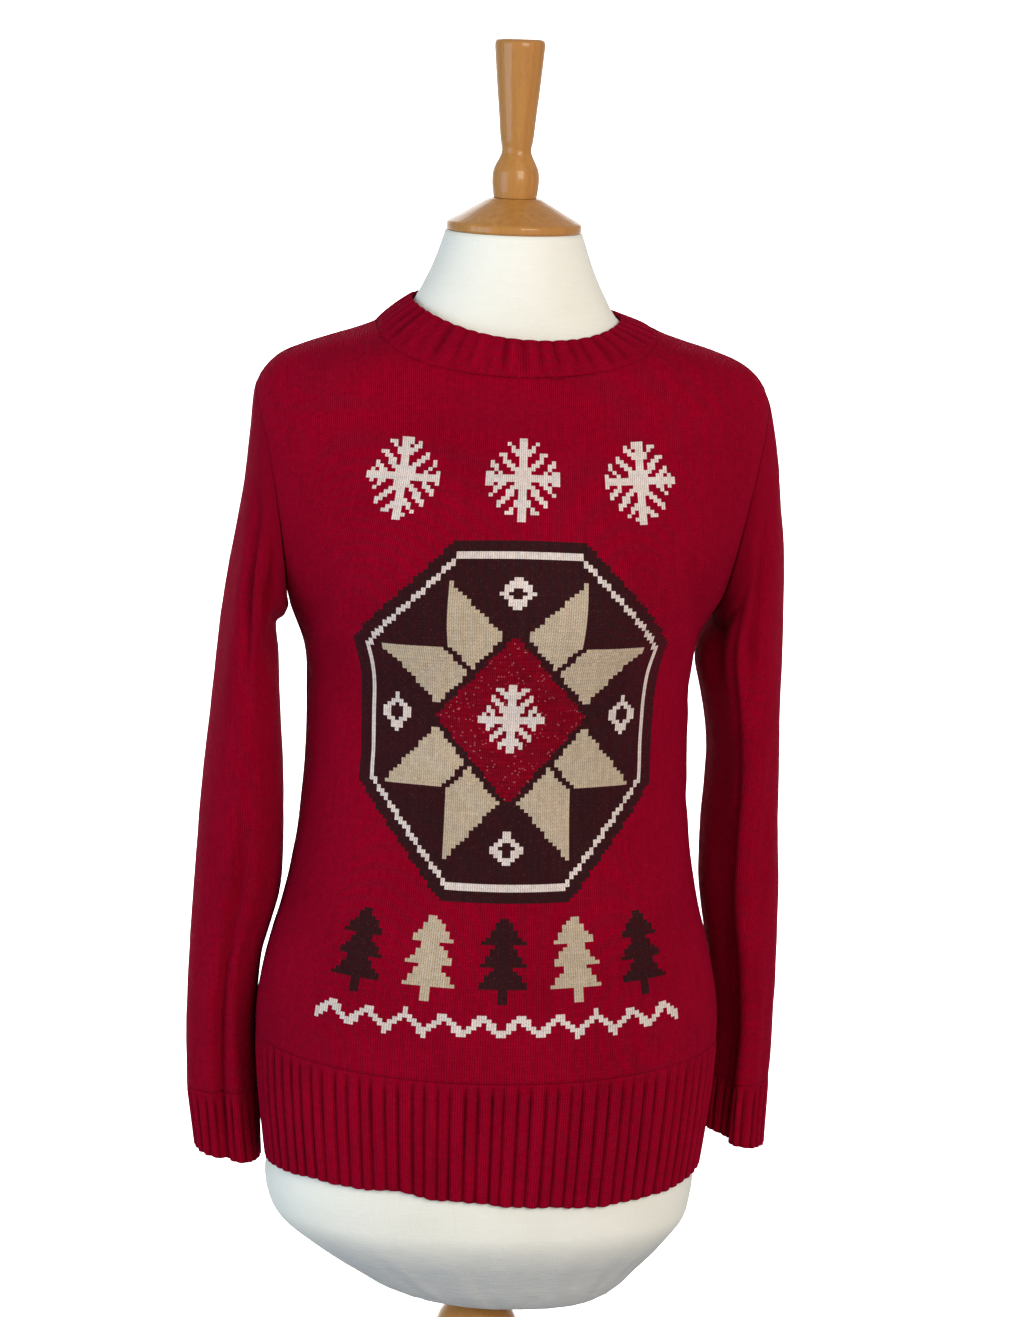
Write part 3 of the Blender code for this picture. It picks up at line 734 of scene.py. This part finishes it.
def build_neckband():
    """The ribbed band round the neck, leaning to one side as it sits on the form."""
    turn = np.linspace(0, 2 * np.pi, FINE)
    side = np.where(np.cos(turn) >= 0, -1, 1)
    x = (NECK_HALF - NECK_SEAM_GAP) * np.sin(turn)
    front = skin(x, neck_height(x, -1) + NECK_SEAM_GAP, -1)
    back = skin(x, neck_height(x, 1) + NECK_SEAM_GAP, 1)
    seam = np.where(side[:, None] < 0, front, back)
    reach = np.where(side < 0, BAND_FRONT, BAND_BACK)
    far_z = np.where(side < 0, BAND_FRONT_Z, BAND_BACK_Z)
    x, y = rounded(turn, BAND_HALF, reach, BAND_SQUARENESS)
    z = BAND_SIDE_Z + (far_z - BAND_SIDE_Z) * abs(np.cos(turn)) ** BAND_SCOOP + BAND_LEAN * np.sin(turn)
    edge = np.stack([x, y, z], axis=1)
    out = unit(np.stack([np.sin(turn), -np.cos(turn), np.full(FINE, BAND_TILT)], axis=1))
    lines = [
        seam + up * (edge - seam) + BAND_SWELL * 4 * up * (1 - up) * out
        for up in np.linspace(0, 1, BAND_ROWS)
    ]
    ribs = NECK_RIBS, NECK_RIB_WALES, NECK_GROOVE
    return build_band("neckband_rib", lines, ribs, ring_normals, BAND_TURN_IN, crowd=crowded)


def armhole_ring(turns):
    """The armhole on the wearer's left, from the shoulder point round by the front."""
    z = UNDERARM + (SHOULDER - UNDERARM) * (1 + np.cos(turns)) / 2
    side = np.where(np.sin(turns) >= 0, -1, 1)
    return skin(seam_x(z), z, side)


def sleeve_rings(sizes, turns):
    """Rounded rings, each from its outer point round by the front to its inner point."""
    outer_x, outer_z, inner_x, inner_z, half_depth, middle = np.moveaxis(sizes[..., None], 1, 0)
    across, y = rounded(turns + np.pi / 2, 1, half_depth, SLEEVE_SQUARENESS)
    share = (1 + across) / 2
    x = inner_x + (outer_x - inner_x) * share
    z = inner_z + (outer_z - inner_z) * share
    return np.stack([x + SEAM_GAP, middle - y, z], axis=-1)


def pressed_rings(points, shares, turns, creases):
    """Rings pressed in level along creases that run down them and drift round them."""
    normals = square_to(ring_normals(points), 2)
    share = shares[:, None]
    for first, last, start, end, half_width, deep in creases:
        t = np.clip((share - first) / (last - first), 0, 1)
        middle = start + (end - start) * smooth_step(t)
        off = degrees_from(turns, middle)
        fade = np.sin(np.pi * t) ** CREASE_FADE
        points = points - normals * (deep * fade * np.exp(-((off / half_width) ** 2)))[..., None]
    return points


def build_sleeve(name, table, creases, wrinkles, hand):
    """A sleeve in rings that start and end at its underarm seam, where its wales decrease."""
    turns = np.linspace(-np.pi, np.pi, SLEEVE_WALES + 1)
    shares = np.linspace(0, 1, SLEEVE_COURSES + 1)
    sizes = np.stack([column(table, i)(shares) for i in range(1, 7)], axis=1)
    own = sleeve_rings(sizes, turns)
    own_share = smooth_step(shares / SLEEVE_BLEND)[:, None, None]
    grid = own + (1 - own_share) * (armhole_ring(turns) + (SEAM_GAP, 0, 0) - own[0])
    grid = pressed_rings(grid, shares, turns, creases + wrinkles)
    grid[-1, :, 2] += SEAM_GAP / 2
    normals = ring_normals(grid)
    down = along(grid)
    to_ends = np.minimum(down, down[-1:] - down)
    grid = eased(grid, rippled(grid, normals), to_ends)
    round_it = along(grid, axis=1)
    girth = round_it[:, -1:]
    grid = tucked(grid, normals, down, ARMHOLE_TUCK)
    grid = tucked(grid, normals, np.minimum(round_it, girth - round_it), SIDE_TUCK)
    wales = (round_it - girth / 2) / WALE
    courses = np.broadcast_to(np.arange(SLEEVE_COURSES + 1)[:, None], wales.shape)
    stitches = np.stack([wales, courses], axis=-1)
    grid = slipped(grid * (hand, 1, 1))
    return knit(name, grid, stitches, flip=hand < 0, closed=True)


def build_cuff(name, table, free_edge, creases, wrinkles, hand):
    """A ribbed cuff, from the end of its sleeve to a narrower free edge."""
    turns = np.linspace(0, 2 * np.pi, FINE)
    down = np.linspace(0, 1, CUFF_COURSES + 1)
    sleeve_end = np.array(table[-1][1:])
    sizes = sleeve_end + down[:, None] * (np.array(free_edge) - sleeve_end)
    lines = sleeve_rings(sizes, turns)
    lines = pressed_rings(lines, 1 + CUFF_SHARE * down, turns, creases + wrinkles)
    lines[0, :, 2] -= SEAM_GAP / 2
    ribs = CUFF_RIBS, CUFF_RIB_WALES, RIB_GROOVE
    return build_band(name, lines, ribs, ring_normals, CUFF_TURN_IN, flip=hand < 0, hand=hand)


# ------ the picture, stitch by stitch


def snowflake(x, y, reach):
    """A flake of eight arms, whose upright and level arms are barbed."""
    x, y = abs(x), abs(y)
    low, high = np.minimum(x, y), np.maximum(x, y)
    arm = (low < 2.6) & (high < reach)
    diagonal = (abs(x - y) < 3.0) & (high < 0.66 * reach)
    barb = (abs(low - (high - 0.46 * reach)) < 2.4) & (high < 0.84 * reach)
    tip = (low < 4.4) & (high > reach - 5.4) & (high < reach - 1)
    return arm | diagonal | barb | tip


def rose(x, y, reach, gap):
    """An eight-petalled knitted rose, its petals parted by fine lines."""
    x, y = abs(x), abs(y)
    low, high = np.minimum(x, y), np.maximum(x, y)
    petals = (low <= reach / 2) & (high - low <= reach / 2)
    lines = (low < gap / 2) | (abs(high - low) < gap)
    return petals & ~lines


def fir_tree(x, y):
    """A small fir in tiers on a short trunk, from y = 0 up."""
    x, down = abs(x), TREE_TALL - y
    tiers = (x < 2.5 + (down % TREE_TIER) * 0.66 + down * 0.13) & (y > 9) & (down > 0)
    trunk = (x < 3.4) & (y > 0) & (y <= 9)
    return tiers | trunk


def folded(x, length):
    """Distance from the nearest whole multiple of a length."""
    return abs((x + length / 2) % length - length / 2)


def winter_chart(courses, wales):
    """The yarn of every stitch: snowflakes over a rose medallion, firs and a zigzag."""
    wale, course = np.meshgrid(np.arange(wales) + 0.5, np.arange(courses) + 0.5)
    x = (wale - wales / 2) * WALE
    y = (course - CHART_BOTTOM) * COURSE
    chart = np.full(x.shape, RED)

    flakes = snowflake(folded(x, FLAKE_APART), y - FLAKE_Y, FLAKE) & (abs(x) < 1.5 * FLAKE_APART)
    chart[flakes] = WHITE

    up = y - MEDALLION_Y
    across, tall = abs(x) / MEDALLION_HALF, abs(up) / MEDALLION_TALL
    edge = np.maximum(np.maximum(across, tall), (across + tall) / MEDALLION_CORNER)
    chart[edge < 1] = BROWN
    chart[(edge > 0.90) & (edge < 0.93)] = WHITE
    chart[rose(x, up, ROSE, ROSE_GAP)] = OATMEAL
    away = abs(x) + abs(up)
    chart[away < HEART + HEART_EDGE] = BROWN
    chart[away < HEART] = LUREX
    chart[snowflake(x, up, HEART * 0.42)] = WHITE
    far = np.maximum(abs(x), abs(up))
    crystal = abs(far - CRYSTAL_AWAY) + np.minimum(abs(x), abs(up))
    chart[(crystal < CRYSTAL) & (crystal > CRYSTAL - 7)] = WHITE

    trees = fir_tree(folded(x, TREE_APART), y - TREE_Y) & (abs(x) < 2.5 * TREE_APART)
    chart[trees] = OATMEAL
    chart[trees & (np.round(x / TREE_APART) % 2 == 0)] = BROWN
    line = abs(y - ZIGZAG_Y - ZIGZAG_TALL * (folded(x, ZIGZAG_LONG) * 2 / ZIGZAG_LONG - 0.5))
    chart[(line < 3.2) & (abs(x) < 5 * ZIGZAG_LONG)] = WHITE
    return chart


# ------ form and wood


def build_form():
    """The linen cover of the form, in fine rings, gathered under its base."""
    heights = np.linspace(FORM_SECTIONS[0][0], FORM_SECTIONS[-1][0], FORM_ROWS)
    turns = np.linspace(0, 2 * np.pi, FORM_COLUMNS + 1)
    half, front, back, middle = (column(FORM_SECTIONS, i)(heights)[:, None] for i in range(1, 5))
    bend = 2 + (SQUARENESS - 2) * smooth_step((FORM_NECK - heights) / (FORM_NECK - FORM_CHEST))
    reach = np.where(np.cos(turns) > 0, front, back)
    x, y = rounded(turns, half, reach, bend[:, None])
    z = np.broadcast_to(heights[:, None], x.shape)
    grid = np.stack([middle + x, y, z], axis=-1)
    out = square_to(grid, 2)
    hidden = smooth_step((z - FORM_TUCK_BOTTOM) / 30) * smooth_step((FORM_TUCK_TOP - z) / 20)
    gathered = smooth_step((PLEATS_TOP - z) / 50) * smooth_step((z - PLEATS_BOTTOM) / 12)
    seams = sum(np.exp(-degrees_from(turns, at) ** 2 / FORM_SEAM_WIDE) for at in FORM_SEAMS)
    below_neck = 1 - smooth_step((z - FORM_NECK) / 20)
    sewn = gathered * waves(turns, PLEATS) - FORM_SEAM_DEEP * seams * below_neck
    grid = grid + out * (sewn - FORM_TUCK * hidden)[..., None]
    grid = rippled(grid, out, FORM_RIPPLE)
    corners = [tuple(point * MM) for row in grid[:, :-1] for point in row]
    rings = np.arange(len(corners)).reshape(FORM_ROWS, FORM_COLUMNS)
    ahead = np.roll(rings, -1, axis=1)
    faces = np.stack([rings[:-1], ahead[:-1], ahead[1:], rings[1:]], axis=-1).reshape(-1, 4).tolist()
    faces += [rings[0, ::-1].tolist(), rings[-1].tolist()]
    return new_piece("form_linen", corners, [], faces)


def softened(outline, radius):
    """The outline with each inner corner rounded off."""
    points = [Vector((r, 0, z)) for r, z in outline]
    line = [points[0]]
    for before, corner, after in zip(points, points[1:], points[2:]):
        reach = min(radius, (before - corner).length / 2.1, (after - corner).length / 2.1)
        start = corner + (before - corner).normalized() * reach
        end = corner + (after - corner).normalized() * reach
        for t in (0, 0.25, 0.5, 0.75, 1):
            line.append(start.lerp(corner, t).lerp(corner.lerp(end, t), t))
    return line + [points[-1]]


def flowing(outline):
    """A smooth line through every point of the outline."""
    table = [(i, r, z) for i, (r, z) in enumerate(outline)]
    at = np.linspace(0, len(outline) - 1, 12 * len(outline))
    return [Vector((r, 0, z)) for r, z in zip(column(table, 1)(at), column(table, 2)(at))]


def turned(name, line):
    """A piece turned on the lathe from a line of points, closed flat at both ends."""
    line = [Vector((0, 0, line[0].z)), *line, Vector((0, 0, line[-1].z))]
    edges = [(i, i + 1) for i in range(len(line) - 1)]
    piece = new_piece(name, [point * MM for point in line], edges, [])
    pick(piece)
    bpy.ops.object.mode_set(mode="EDIT")
    bpy.ops.mesh.select_all(action="SELECT")
    bpy.ops.mesh.spin(steps=TURNED_STEPS, angle=2 * math.pi, center=(0, 0, 0), axis=(0, 0, 1))
    bpy.ops.mesh.select_all(action="SELECT")
    bpy.ops.mesh.remove_doubles(threshold=0.00001)
    bpy.ops.mesh.normals_make_consistent(inside=False)
    bpy.ops.object.mode_set(mode="OBJECT")
    bpy.ops.object.shade_smooth_by_angle(angle=math.radians(35))
    piece.select_set(False)
    return piece


# ------ finishes


class Finish:
    """A material whose nodes are added one by one to its shader."""

    def __init__(self, name, **sockets):
        self.material = bpy.data.materials.new(name)
        self.material.use_nodes = True
        self.nodes = self.material.node_tree.nodes
        self.links = self.material.node_tree.links
        self.shader = self.nodes["Principled BSDF"]
        for socket, value in sockets.items():
            self.shader.inputs[socket.replace("_", " ")].default_value = value

    def add(self, kind, inputs=(), **settings):
        """A node with its settings, and a value or a link for each of its inputs in turn."""
        node = self.nodes.new("ShaderNode" + kind)
        for setting, value in settings.items():
            setattr(node, setting, value)
        for socket, value in dict(inputs).items():
            self.feed(node.inputs[socket], value)
        return node

    def feed(self, socket, value):
        if isinstance(value, bpy.types.NodeSocket):
            self.links.new(value, socket)
        else:
            socket.default_value = value

    def math(self, operation, *values):
        node = self.add("Math", operation=operation)
        for socket, value in zip(node.inputs, values):
            self.feed(socket, value)
        return node.outputs[0]

    def times(self, *values):
        return self.math("MULTIPLY", *values)

    def mix(self, factor, a, b, blend="MIX"):
        node = self.add("Mix", data_type="RGBA", blend_type=blend)
        self.feed(node.inputs[0], factor)
        self.feed(node.inputs[6], a)
        self.feed(node.inputs[7], b)
        return node.outputs[2]

    def ramp(self, value, low, high, to_low=0.0, to_high=1.0):
        ranges = {"Value": value, 1: low, 2: high, 3: to_low, 4: to_high}
        return self.add("MapRange", ranges).outputs[0]

    def scaled(self, vector, scale):
        return self.add("Mapping", {"Vector": vector, "Scale": scale}).outputs[0]

    def noise(self, vector, scale, detail=2.0, roughness=0.5):
        """Noise at one scale, or at a scale for each axis."""
        if isinstance(scale, tuple):
            vector, scale = self.scaled(vector, scale), 1.0
        inputs = {"Vector": vector, "Scale": scale, "Detail": detail, "Roughness": roughness}
        return self.add("TexNoise", inputs).outputs[0]

    def flecks(self, vector):
        """A random value for each whole step of the vector."""
        step = self.add("VectorMath", {0: vector}, operation="FLOOR").outputs[0]
        return self.add("TexWhiteNoise", {"Vector": step}).outputs[0]

    def bump(self, height, distance, strength=1.0):
        inputs = {"Height": height, "Distance": distance, "Strength": strength}
        self.feed(self.shader.inputs["Normal"], self.add("Bump", inputs).outputs[0])

    def colour(self, colour):
        self.feed(self.shader.inputs["Base Color"], colour)


def knitted(name, picture=False, rib_wales=0, shadow=1.0, soft=0.62):
    """Red wool knitting: a V of two legs in every stitch, with streaks along its wales.

    A ribbed finish has painted shade in the groove between two ribs, down to its shadow.
    """
    finish = Finish(
        name, Roughness=0.95, Specular_IOR_Level=0.02, Sheen_Weight=0.14, Sheen_Roughness=0.4,
        Sheen_Tint=(1, 0.015, 0.12, 1),
    )
    stitch = finish.add("UVMap", uv_map="stitch").outputs[0]
    where = finish.add("TexCoord").outputs["Object"]
    split = finish.add("SeparateXYZ", {0: stitch}).outputs
    middle = finish.times(finish.math("PINGPONG", split[0], 0.5), 2.0)
    leg = finish.math("SINE", finish.times(middle, math.pi))
    slope = finish.math("MULTIPLY_ADD", middle, 0.55, split[1])
    loop = finish.math("SINE", finish.times(finish.math("FRACT", slope), math.pi))
    leg = finish.math("POWER", finish.math("MAXIMUM", leg, 0.0), 0.6)
    loop = finish.math("POWER", finish.math("MAXIMUM", loop, 0.0), 0.5)
    height = finish.times(leg, finish.math("MULTIPLY_ADD", loop, 0.65, 0.35))

    streak = finish.noise(stitch, (1.0, 0.06, 1.0), 3.0)
    cloud = finish.noise(where, 16.0, 3.0)
    fuzz = finish.noise(stitch, (6.0, 7.0, 1.0), 4.0, 0.7)
    shade = finish.ramp(finish.flecks(stitch), 0.0, 1.0, 0.92, 1.08)
    for pattern, dark, light in ((streak, 0.93, 1.07), (cloud, 0.92, 1.07), (fuzz, 0.72, 1.30)):
        shade = finish.times(shade, finish.ramp(pattern, 0.3, 0.7, dark, light))
    # Painted shade in each groove between two ribs, uneven from groove to groove, with a little painted
    # light on the crests. It fades in over the first courses.
    if rib_wales:
        rib = finish.math("PINGPONG", split[0], rib_wales / 2)
        uneven_groove_shade = finish.noise(stitch, (0.31, 0.05, 1.0), 3.0)
        groove = finish.ramp(uneven_groove_shade, 0.35, 0.65, 0.75 * shadow, min(1.25 * shadow, 0.95))
        lit = finish.ramp(rib, 0.1, soft, groove, 1.05)
        lit = finish.ramp(split[1], 0.0, RIB_COURSES, 1.0, lit)
        shade = finish.times(shade, lit)

    # Painted shade in the gap between a stitch's two legs, where the relief is low.
    gap = finish.ramp(height, 0.5, 0.05)
    if picture:
        yarn = finish.add("VertexColor", layer_name="yarn").outputs[0]
        trait = finish.add("VertexColor", layer_name="trait").outputs[0]
        traits = finish.add("SeparateColor", {0: trait}).outputs
        fleck = finish.ramp(finish.noise(stitch, (2.6, 3.3, 1.0), 3.0, 0.7), 0.5, 0.62)
        fleck = finish.times(fleck, traits[0])
        yarn = finish.mix(finish.times(fleck, 0.45), yarn, MARL)
        lines = finish.noise(finish.scaled(stitch, (0.12, 1.0, 1.0)), 1.3, 2.0)
        lines = finish.times(finish.ramp(lines, 0.42, 0.62), traits[1])
        yarn = finish.mix(finish.times(lines, 0.4), yarn, DARK_ROW)
        # Metal-thread flecks: set partly metallic, and given a lighter colour as a painted glint.
        spark = finish.flecks(finish.scaled(stitch, (3.0, 3.0, 1.0)))
        spark = finish.times(finish.ramp(spark, 0.965, 0.985), traits[1])
        yarn = finish.mix(spark, yarn, SPARK)
        gap_shade = finish.mix(traits[2], RED_GAP_SHADE, PALE_GAP_SHADE)
        finish.feed(finish.shader.inputs["Metallic"], finish.times(spark, 0.4))
    else:
        yarn = (*YARNS[RED][0], 1)
        gap_shade = RED_GAP_SHADE
    grey = finish.add("CombineColor", {0: shade, 1: shade, 2: shade}).outputs[0]
    tinted = finish.mix(1.0, yarn, grey, "MULTIPLY")
    finish.colour(finish.mix(finish.times(gap, 0.8), tinted, gap_shade))
    rough = finish.math("MULTIPLY_ADD", fuzz, 0.25, height)
    finish.bump(rough, KNIT_RELIEF, 0.8)
    return finish.material


def linen():
    """Cream linen: a fine plain weave with slubs, a little soiled, with painted shade grey below the base.
    """
    finish = Finish("linen", Roughness=0.9, Specular_IOR_Level=0.15, Sheen_Weight=0.03)
    where = finish.add("TexCoord").outputs["Object"]
    level = finish.noise(where, (70.0, 70.0, 1500.0), 2.0)
    upright = finish.noise(where, (1500.0, 1500.0, 70.0), 2.0)
    threads = finish.math("ADD", level, upright)
    stain = finish.noise(where, 9.0, 3.0)
    cream = finish.mix(
        finish.ramp(stain, 0.35, 0.75), (0.75, 0.715, 0.635, 1), (0.68, 0.64, 0.555, 1)
    )
    # Painted shade: the cover turns grey below the base's edge, where its underside faces away from the
    # light.
    low = finish.ramp(finish.add("SeparateXYZ", {0: where}).outputs[2], 0.752, 0.722, 0.0, 0.8)
    cream = finish.mix(low, cream, (0.39, 0.39, 0.40, 1))
    finish.colour(finish.mix(finish.ramp(threads, 0.8, 1.2, 0.0, 0.3), cream, (0.81, 0.775, 0.70, 1)))
    finish.bump(threads, 0.0003, 0.7)
    return finish.material


def beech():
    """Honey-coloured beech under varnish, with its grain along the pole and short dark flecks."""
    finish = Finish(
        "beech", Roughness=0.5, Specular_IOR_Level=0.2, Coat_Weight=0.4, Coat_Roughness=0.1
    )
    where = finish.add("TexCoord").outputs["Object"]
    grain = finish.noise(where, (260.0, 260.0, 9.0), 4.0, 0.6)
    broad = finish.noise(where, (42.0, 42.0, 3.0), 3.0)
    fleck = finish.noise(where, (900.0, 900.0, 120.0), 1.0)
    wood = finish.mix(finish.ramp(grain, 0.3, 0.7), (0.36, 0.150, 0.029, 1), (0.46, 0.207, 0.045, 1))
    wood = finish.mix(finish.ramp(broad, 0.35, 0.65, 0.0, 0.5), wood, (0.36, 0.145, 0.032, 1))
    wood = finish.mix(finish.ramp(fleck, 0.64, 0.72, 0.0, 0.35), wood, (0.20, 0.075, 0.017, 1))
    finish.colour(wood)
    finish.bump(grain, 0.00012, 0.3)
    return finish.material


def paper():
    """Pale paper, a little greyer round the stand. Its back lets the views from behind through."""
    finish = Finish("paper", Roughness=0.95)
    where = finish.add("TexCoord").outputs["Object"]
    behind = finish.ramp(finish.add("SeparateXYZ", {0: where}).outputs[1], 0.5, 1.5)
    away = finish.add("VectorMath", {0: where}, operation="LENGTH").outputs["Value"]
    away = finish.math("MAXIMUM", behind, finish.ramp(away, 2.0, 3.5))
    grain = finish.ramp(finish.noise(where, 2.0, 2.0), 0.0, 1.0, 0.0, 0.06)
    pale = finish.mix(grain, (0.40, 0.41, 0.43, 1), (0.35, 0.36, 0.38, 1))
    finish.colour(finish.mix(away, pale, (0.88, 0.88, 0.88, 1)))
    back = finish.add("NewGeometry").outputs["Backfacing"]
    clear = finish.add("BsdfTransparent").outputs[0]
    seen = finish.add("MixShader", {0: back, 1: finish.shader.outputs[0], 2: clear}).outputs[0]
    finish.feed(finish.nodes["Material Output"].inputs["Surface"], seen)
    return finish.material


# ------ the dressed form

JERSEY = knitted("jersey_knit")
RIBBING = knitted("rib_knit", rib_wales=WELT_RIB_WALES, shadow=RIB_SHADOW)
COLLAR = knitted("collar_knit", rib_wales=NECK_RIB_WALES, shadow=COLLAR_SHADOW, soft=1.5)
PICTURE_KNIT = knitted("picture_knit", picture=True)
LINEN, BEECH = linen(), beech()


def place(piece, node, finish, slot):
    """The finished piece stands for a node, in its finish; slot is not used."""
    piece.data.materials.append(finish)
    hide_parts(node)
    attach(piece, "root")
    return piece


chart = winter_chart(COURSES_BELOW + MOST_ABOVE, PANEL_WALES)
form = place(build_form(), "form_body", LINEN, "linen")
front = place(build_panel("front_knit", -1, FRONT_CREASES, chart), "front_panel", PICTURE_KNIT, "knit")
back = place(build_panel("back_knit", 1, BACK_CREASES), "back_panel", JERSEY, "knit")
front_welt = place(build_welt("front_welt_rib", -1), "front_welt", RIBBING, "rib")
back_welt = place(build_welt("back_welt_rib", 1), "back_welt", RIBBING, "rib")
neckband = place(build_neckband(), "neckband", COLLAR, "rib")
SIDES = (
    ("left", LEFT_SLEEVE, LEFT_CUFF, LEFT_CREASES, LEFT_WRINKLES, 1),
    ("right", RIGHT_SLEEVE, RIGHT_CUFF, RIGHT_CREASES, RIGHT_WRINKLES, -1),
)
sleeves, cuffs = [], []
for side, table, free_edge, creases, wrinkles, hand in SIDES:
    sleeve = build_sleeve("sleeve_knit_" + side, table, creases, wrinkles, hand)
    cuff = build_cuff("cuff_rib_" + side, table, free_edge, creases, wrinkles, hand)
    sleeves.append(place(sleeve, "sleeve_" + side, JERSEY, "knit"))
    cuffs.append(place(cuff, "cuff_" + side, RIBBING, "rib"))

# node and the line it is turned from, its corners rounded off
WOOD = (
    ("neck_cap", softened(CAP_OUTLINE, 1.6)),
    ("finial", flowing(FINIAL_OUTLINE)),
    ("stand_knob", flowing(KNOB_OUTLINE)),
    ("stand_pole", softened(((POLE_RADIUS, POLE_BOTTOM), (POLE_RADIUS, POLE_TOP)), 1)),
    ("stand_socket", softened(SOCKET_OUTLINE, 3)),
    ("stand_foot", softened(FOOT_OUTLINE, 4)),
)
for node, line in WOOD:
    place(turned("beech_" + node, line), node, BEECH, "beech")

# ------ stage, camera and light

CAMERA_AWAY, CAMERA_HEIGHT = 2.709, 1.645
CAMERA_ROUND, CAMERA_DOWN, CAMERA_ROLL = math.radians(-5.5), math.radians(10.3), math.radians(2.0)
FOCAL, FRAME_HEIGHT, CENTRE_OFF = 3870, 1317, 13
SENSOR = 36
STAGE_REACH, STAGE_BACK, STAGE_BEND, STAGE_TOP = 9.0, 2.2, 1.5, 5.0
STAGE_STEPS = 16


def build_stage():
    """A pale floor that curves up into a backdrop behind the form."""
    profile = [(-STAGE_REACH, 0)]
    for turn in np.linspace(0, np.pi / 2, STAGE_STEPS + 1):
        profile.append((STAGE_BACK + STAGE_BEND * np.sin(turn), STAGE_BEND * (1 - np.cos(turn))))
    profile.append((STAGE_BACK + STAGE_BEND, STAGE_TOP))
    corners = [(x, y, z) for y, z in profile for x in (-STAGE_REACH, STAGE_REACH)]
    faces = [(2 * i, 2 * i + 1, 2 * i + 3, 2 * i + 2) for i in range(len(profile) - 1)]
    stage = new_piece("stage", corners, [], faces)
    stage.data.materials.append(paper())


def build_camera():
    data = bpy.data.cameras.new("camera")
    data.sensor_fit, data.sensor_height = "VERTICAL", SENSOR
    data.lens = SENSOR * FOCAL / FRAME_HEIGHT
    data.clip_end = 50
    camera = bpy.data.objects.new("camera", data)
    place_at = (math.sin(CAMERA_ROUND) * CAMERA_AWAY, -math.cos(CAMERA_ROUND) * CAMERA_AWAY, CAMERA_HEIGHT)
    heading = Matrix.Rotation(CAMERA_ROUND - math.atan(CENTRE_OFF / FOCAL), 4, "Z")
    tilt = Matrix.Rotation(math.radians(90) - CAMERA_DOWN, 4, "X")
    roll = Matrix.Rotation(CAMERA_ROLL, 4, "Z")
    camera.matrix_world = Matrix.Translation(place_at) @ heading @ tilt @ roll
    bpy.context.scene.collection.objects.link(camera)
    bpy.context.scene.camera = camera


def build_light(name, at, aim, size, power, colour, spread=180):
    data = bpy.data.lights.new(name, "AREA")
    data.spread = math.radians(spread)
    data.shape, data.size, data.energy, data.color = "SQUARE", size, power, colour
    light = bpy.data.objects.new(name, data)
    light.location = at
    light.rotation_euler = (Vector(aim) - Vector(at)).to_track_quat("-Z", "Y").to_euler()
    bpy.context.scene.collection.objects.link(light)


bpy.context.scene.view_settings.view_transform = "Standard"
build_stage()
build_camera()
CHEST = (0, 0, 1.2)
build_light("key", (1.0, -2.8, 2.3), CHEST, 1.6, 76, (1.0, 0.93, 0.82))
build_light("window", (-2.6, -1.3, 1.45), CHEST, 2.0, 50, (0.60, 0.81, 1.0))
build_light("backdrop", (0, 2.4, 3.7), (0, 3.4, 0.8), 2.4, 150, (1.0, 1.0, 1.0), spread=110)
world = bpy.data.worlds.new("studio")
bpy.context.scene.world = world
world.use_nodes = True
background = world.node_tree.nodes["Background"].inputs
background["Color"].default_value = (0.88, 0.94, 1.0, 1)
background["Strength"].default_value = 0.48
